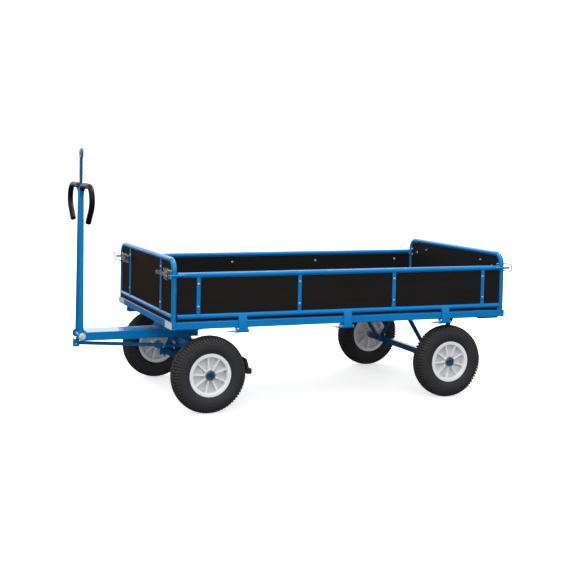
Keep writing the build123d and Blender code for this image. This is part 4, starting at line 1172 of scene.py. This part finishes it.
class CART_OT_drive_fasteners(Operator):
    """Bolt the boards to their bars, the latches to the end walls, and screw down the deck"""

    bl_idname = "hand_cart.drive_fasteners"
    bl_label = "Drive Fasteners"

    def execute(self, context):
        for body in OUTWARD:
            self.bolt_board(body)
        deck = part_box("deck_board")
        spots = [within(deck, along, across, 1.0) for along in DECK_ALONG for across in DECK_ACROSS]
        screws = [(spot, UP, 0.0) for spot in spots]
        scatter("deck_screws", "platform", screw_head(), screws, "bolt_zinc")
        return {"FINISHED"}

    @staticmethod
    def latch_bolts(end):
        """(width, height, whether its head shows) of the bolts of a wall's latches."""
        low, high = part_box(f"{end}_latch_bases")
        corner = high.y - LATCH_BOLT_IN
        pattern = (
            (corner, low.z + LATCH_BOLT_IN, True), (corner, high.z - LATCH_BOLT_IN, True),
            (corner - LATCH_BOLT_RUN, (low.z + high.z) / 2, False),
        )
        return [(side * y, z, headed) for side in (-1.0, 1.0) for y, z, headed in pattern]

    def bolt_board(self, body):
        """Bolt heads outside and nuts inside, one piece of each."""
        way, kind = OUTWARD[body], kind_of(body)
        heads, nuts = [], []
        for along in BARS[kind]:
            for up in BOLTS_UP[kind]:
                heads.append((on_board(body, along, up) + way * BAR_T, way, 0.0))
                nuts.append((on_board(body, along, up, True), -way, NUT_SPIN * len(nuts)))
        if kind == "wall":
            outer, inner = on_board(body, 0.5, 0.5).x, on_board(body, 0.5, 0.5, True).x
            for y, z, headed in self.latch_bolts(body.split("_")[0]):
                if headed:
                    heads.append(((outer + way.x * LATCH_PLATE_T, y, z), way, 0.0))
                nuts.append(((inner, y, z), -way, NUT_SPIN * len(nuts)))
        scatter(f"{body}_bolt_heads", body, dome_head(), heads, "bolt_zinc")
        scatter(f"{body}_nuts", body, hexagon_nut(), nuts, "bolt_zinc")


class CART_OT_lay_welds(Operator):
    """Weld the bars and hinge straps to their tubes"""

    bl_idname = "hand_cart.lay_welds"
    bl_label = "Lay Welds"

    def execute(self, context):
        for body in OUTWARD:
            self.weld_board(body)
        return {"FINISHED"}

    @staticmethod
    def weld_board(body):
        """Beads at both ends of each bar, and over the hinge straps of a side."""
        way, kind = OUTWARD[body], kind_of(body)
        length = Vector((abs(way.y), abs(way.x), 0.0))
        runs = []
        for along in BARS[kind]:
            for up, lean in ((0.0, -1.0), (1.0, 1.0)):
                spot = on_board(body, along, up) + (way + UP * lean) * WELD_IN
                runs += weld_run(spot, length * BAR_HALF, way * WELD_AIM_OUT - WELD_AIM_UP * lean)
        if kind == "side":
            low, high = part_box("chassis_rails")
            y = on_board(body, 0.5, 0.5).y + way.y * (BAR_T + STRAP_WELD_OUT)
            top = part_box(f"{body}_straps")[1].z
            for along in STRAP_ALONG:
                spot = Vector((PLATFORM_MID.x + along * (high.x - low.x) / 2, y, top))
                runs += weld_run(spot, length * STRAP_HALF, way * WELD_AIM_OUT + WELD_AIM_UP)
        scatter(f"{body}_welds", body, weld_bead(), runs, "blue_paint")


FLOOR_R = 45.0
FLOOR_STEPS = 64
FLOOR_WHITE = (0.96, 0.96, 0.96, 1.0)
FLOOR_GLOW = 0.62
BACKDROP_H = 30.0
# (height from straight down to straight up, brightness) of the surround
SKY = ((0.0, 0.12), (0.42, 0.15), (0.50, 0.45), (0.60, 0.90), (1.0, 1.0))
# Each light: its place, the point that it is aimed at, its size, and whether reflections show it.
PANELS = {
    "top": ((0.2, -0.6, 5.2), (0.0, 0.0, 0.3), (6.0, 1.2), True),
    "key": ((-2.0, -5.4, 4.2), (0.0, 0.0, 0.5), (3.2, 3.2), True),
    "front": ((-6.0, -2.5, 2.2), (0.0, 0.0, 0.6), (0.9, 3.6), True),
    "low": ((0.6, -4.6, 0.34), (0.6, 0.0, 0.30), (6.0, 0.6), False),
    "rim": ((1.0, 7.0, 4.8), (0.0, 0.0, 0.6), (12.0, 3.0), True),
    "back": ((2.0, 8.0, 1.6), (0.0, 0.0, 0.8), (12.0, 2.6), True),
}


class CART_OT_set_stage(Operator):
    """Set up floor, lights and camera"""

    bl_idname = "hand_cart.set_stage"
    bl_label = "Set Stage"

    def execute(self, context):
        stage = settings().stage
        context.scene.view_settings.view_transform = "Standard"
        self.make_floor()
        self.light_world(stage.world_light)
        for name, panel in PANELS.items():
            self.add_panel(f"{name}_panel", getattr(stage, f"{name}_light"), *panel)
        self.add_camera(stage)
        return {"FINISHED"}

    @staticmethod
    def make_floor():
        """A pale floor with a round backdrop far behind; neither throws light on the cart."""
        bm = bmesh.new()
        low, high = (circle(bm, FLOOR_R, height, FLOOR_STEPS) for height in (0.0, BACKDROP_H))
        bm.faces.new(low)
        bridge(bm, high, low)
        mesh = mesh_of("studio_floor", bm)
        glow = {"Emission Color": (1.0, 1.0, 1.0, 1.0), "Emission Strength": FLOOR_GLOW}
        finish = Finish("studio_floor", {"Base Color": FLOOR_WHITE, **glow})
        finish.feed("Roughness", 0.85 + finish.noise(2.0) * 0.1)
        mesh.materials.append(finish.material)
        floor = link("studio_floor", mesh)
        floor.visible_diffuse = False
        floor.visible_glossy = False
        floor.visible_shadow = False

    @staticmethod
    def light_world(strength):
        """Bright overhead, dim at the horizon and dark below it."""
        world = bpy.data.worlds.new("studio")
        world.use_nodes = True
        tree = world.node_tree
        surround = tree.nodes["Background"]
        surround.inputs["Strength"].default_value = strength
        place = add_node(tree, "ShaderNodeTexCoord", {}, {})
        split = add_node(tree, "ShaderNodeSeparateXYZ", {}, {0: place.outputs["Generated"]})
        height = add_node(tree, "ShaderNodeMapRange", {}, {"From Min": -1.0, "Value": split.outputs["Z"]})
        shades = add_node(tree, "ShaderNodeValToRGB", {"stops": SKY}, {"Fac": height.outputs[0]})
        tree.links.new(shades.outputs["Color"], surround.inputs["Color"])
        bpy.context.scene.world = world

    @staticmethod
    def add_panel(name, power, place, target, size, mirrored):
        """A soft panel aimed at a point, seen in the paint or left out of its reflections."""
        light = bpy.data.lights.new(name, "AREA")
        light.shape = "RECTANGLE"
        light.size, light.size_y = size
        light.energy = power
        panel = link(name, light)
        panel.location = place
        panel.rotation_euler = (Vector(target) - Vector(place)).to_track_quat("-Z", "Y").to_euler()
        panel.visible_camera = False
        panel.visible_glossy = mirrored

    @staticmethod
    def add_camera(stage):
        """The camera at the photograph's place and angle."""
        yaw, pitch, roll = stage.yaw, stage.pitch, stage.roll
        forward = Vector((sin(yaw) * cos(pitch), cos(yaw) * cos(pitch), -sin(pitch)))
        level = Vector((cos(yaw), -sin(yaw), 0.0))
        upright = level.cross(forward)
        right = level * cos(roll) + upright * sin(roll)
        up = upright * cos(roll) - level * sin(roll)
        lens = bpy.data.cameras.new("photo_camera")
        lens.lens = stage.lens
        lens.shift_x = stage.shift_x
        lens.shift_y = stage.shift_y
        camera = link("photo_camera", lens)
        turn = Matrix((right, up, -forward)).transposed().to_4x4()
        place = Vector(stage.camera_place) + Vector((PLATFORM_MID.x, PLATFORM_MID.y, 0.0))
        camera.matrix_world = Matrix.Translation(place) @ turn
        bpy.context.scene.camera = camera


OPERATORS = (
    CART_OT_paint_steelwork,
    CART_OT_fit_boards,
    CART_OT_make_tyres,
    CART_OT_make_rims,
    CART_OT_plate_fittings,
    CART_OT_drive_fasteners,
    CART_OT_lay_welds,
    CART_OT_set_stage,
)


class CART_PT_panel(Panel):
    """Lists the cart's operators and settings"""

    bl_idname = "CART_PT_panel"
    bl_label = "Hand Cart"
    bl_space_type = "VIEW_3D"
    bl_region_type = "UI"
    bl_category = "Hand Cart"

    def draw(self, context):
        for operator in OPERATORS:
            self.layout.operator(operator.bl_idname)
        for group in (settings().colours, settings().wheels, settings().fittings, settings().stage):
            box = self.layout.box()
            for name in group.bl_rna.properties.keys():
                if name not in ("rna_type", "name"):
                    box.prop(group, name)


CLASSES = (
    CartColours, CartWheelSizes, CartFittingSizes, CartStageSettings, CartSettings, *OPERATORS, CART_PT_panel
)


def register():
    for cls in CLASSES:
        bpy.utils.register_class(cls)
    bpy.types.Scene.hand_cart = PointerProperty(type=CartSettings)


def unregister():
    del bpy.types.Scene.hand_cart
    for cls in reversed(CLASSES):
        bpy.utils.unregister_class(cls)


def main():
    register()
    for operator in OPERATORS:
        group, name = operator.bl_idname.split(".")
        getattr(getattr(bpy.ops, group), name)()


if __name__ == "__main__":
    main()
